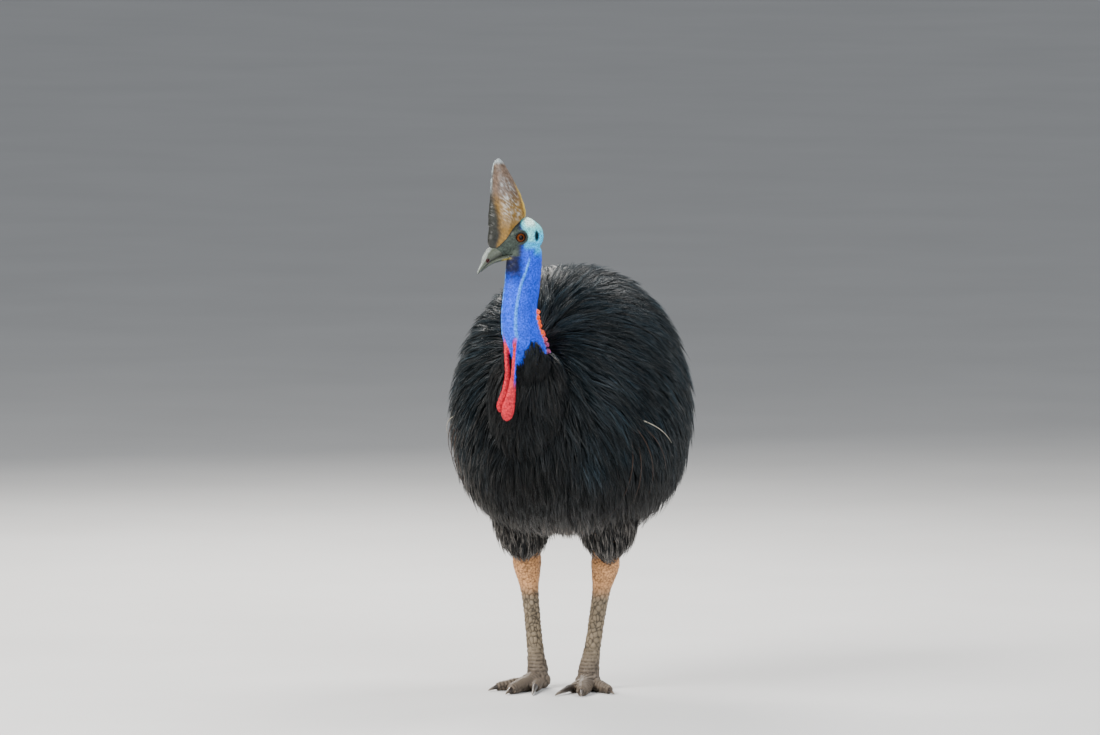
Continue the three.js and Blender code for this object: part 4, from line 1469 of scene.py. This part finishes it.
class CoatSettings(bpy.types.PropertyGroup):
    """Density, sizes and colours of the plumage."""

    torso_clumps: bpy.props.IntProperty(name="Body clumps", description="Clumps over the body", default=8600)
    ruff_clumps: bpy.props.IntProperty(name="Ruff clumps", description="Clumps on the neck's foot", default=1500)
    collar_clumps: bpy.props.IntProperty(name="Collar clumps", description="Clumps on the collar", default=1800)
    thigh_clumps: bpy.props.IntProperty(name="Thigh clumps", description="Clumps on a thigh", default=1100)
    strands_per_clump: bpy.props.IntProperty(name="Strands", description="Strands in a clump", default=6)
    strand_width: bpy.props.FloatProperty(name="Strand width", description="In millimetres", default=2.7)
    clump_radius: bpy.props.FloatProperty(name="Clump radius", description="In millimetres", default=4.6)
    root_scatter: bpy.props.FloatProperty(name="Root scatter", description="In millimetres", default=4.0)
    plumage: colour_setting("Plumage", "Body feathers", 0.06, 0.095, 0.115)
    plumage_brown: colour_setting("Brown plumage", "Ruff and belly feathers", 0.065, 0.055, 0.05)
    # Pale feather tips: bleached by wear, and painted sunlight on the bird's right lower flank.
    worn_and_sunlit_tip: colour_setting("Worn tips", "Bleached feather tips", 0.74, 0.71, 0.68)


class StageSettings(bpy.types.PropertyGroup):
    """Light of the stage."""

    key: bpy.props.FloatProperty(name="Key light", description="Power of the key light", default=540.0, unit="POWER")
    sky: bpy.props.FloatProperty(name="Sky light", description="Strength of the even light", default=0.36)


class CASSOWARY_OT_skin(bpy.types.Operator):
    """Model the bare head, neck, wattles and legs, with the body under the coat"""

    bl_idname = "cassowary.skin"
    bl_label = "Skin"

    def execute(self, context):
        build_skin(context.scene.cassowary_skin)
        return {"FINISHED"}


class CASSOWARY_OT_casque(bpy.types.Operator):
    """Model the casque"""

    bl_idname = "cassowary.casque"
    bl_label = "Casque"

    def execute(self, context):
        build_casque(context.scene.cassowary_horn)
        return {"FINISHED"}


class CASSOWARY_OT_bill(bpy.types.Operator):
    """Model both halves of the bill"""

    bl_idname = "cassowary.bill"
    bl_label = "Bill"

    def execute(self, context):
        build_bill(context.scene.cassowary_horn)
        return {"FINISHED"}


class CASSOWARY_OT_eyes(bpy.types.Operator):
    """Model the two eyes"""

    bl_idname = "cassowary.eyes"
    bl_label = "Eyes"

    def execute(self, context):
        build_eyes(context.scene.cassowary_horn)
        return {"FINISHED"}


class CASSOWARY_OT_claws(bpy.types.Operator):
    """Model the six claws"""

    bl_idname = "cassowary.claws"
    bl_label = "Claws"

    def execute(self, context):
        build_claws(context.scene.cassowary_horn)
        return {"FINISHED"}


class CASSOWARY_OT_quills(bpy.types.Operator):
    """Model the bare wing quills on both flanks"""

    bl_idname = "cassowary.quills"
    bl_label = "Wing quills"

    def execute(self, context):
        build_quills(context.scene.cassowary_horn)
        return {"FINISHED"}


class CASSOWARY_OT_coat(bpy.types.Operator):
    """Grow the plumage of body, ruff and thighs"""

    bl_idname = "cassowary.coat"
    bl_label = "Plumage"

    def execute(self, context):
        look = context.scene.cassowary_coat
        build_torso_coat(look)
        build_ruff_coat(look)
        build_thigh_coats(look)
        return {"FINISHED"}


class CASSOWARY_OT_stage(bpy.types.Operator):
    """Lay the floor and place lights and camera"""

    bl_idname = "cassowary.stage"
    bl_label = "Stage"

    def execute(self, context):
        build_stage(context.scene.cassowary_stage)
        return {"FINISHED"}


OPERATORS = (
    CASSOWARY_OT_stage,
    CASSOWARY_OT_skin,
    CASSOWARY_OT_casque,
    CASSOWARY_OT_bill,
    CASSOWARY_OT_eyes,
    CASSOWARY_OT_claws,
    CASSOWARY_OT_quills,
    CASSOWARY_OT_coat,
)
SETTINGS = {
    "cassowary_skin": SkinSettings,
    "cassowary_horn": HornSettings,
    "cassowary_coat": CoatSettings,
    "cassowary_stage": StageSettings,
}


class CASSOWARY_PT_panel(bpy.types.Panel):
    """The bird's pieces, in the order in which they are made"""

    bl_idname = "CASSOWARY_PT_panel"
    bl_label = "Cassowary"
    bl_space_type = "VIEW_3D"
    bl_region_type = "UI"
    bl_category = "Cassowary"

    def draw(self, context):
        for operator in OPERATORS:
            self.layout.operator(operator.bl_idname)
        for name in SETTINGS:
            group = getattr(context.scene, name)
            for key in group.__annotations__:
                self.layout.prop(group, key)


def register():
    for part in (*SETTINGS.values(), *OPERATORS, CASSOWARY_PT_panel):
        bpy.utils.register_class(part)
    for name, group in SETTINGS.items():
        setattr(bpy.types.Scene, name, bpy.props.PointerProperty(type=group))


def unregister():
    for name in SETTINGS:
        delattr(bpy.types.Scene, name)
    for part in (CASSOWARY_PT_panel, *reversed(OPERATORS), *reversed(SETTINGS.values())):
        bpy.utils.unregister_class(part)


def main():
    register()
    for operator in OPERATORS:
        getattr(bpy.ops.cassowary, operator.bl_idname.split(".")[1])()


if __name__ == "__main__":
    main()
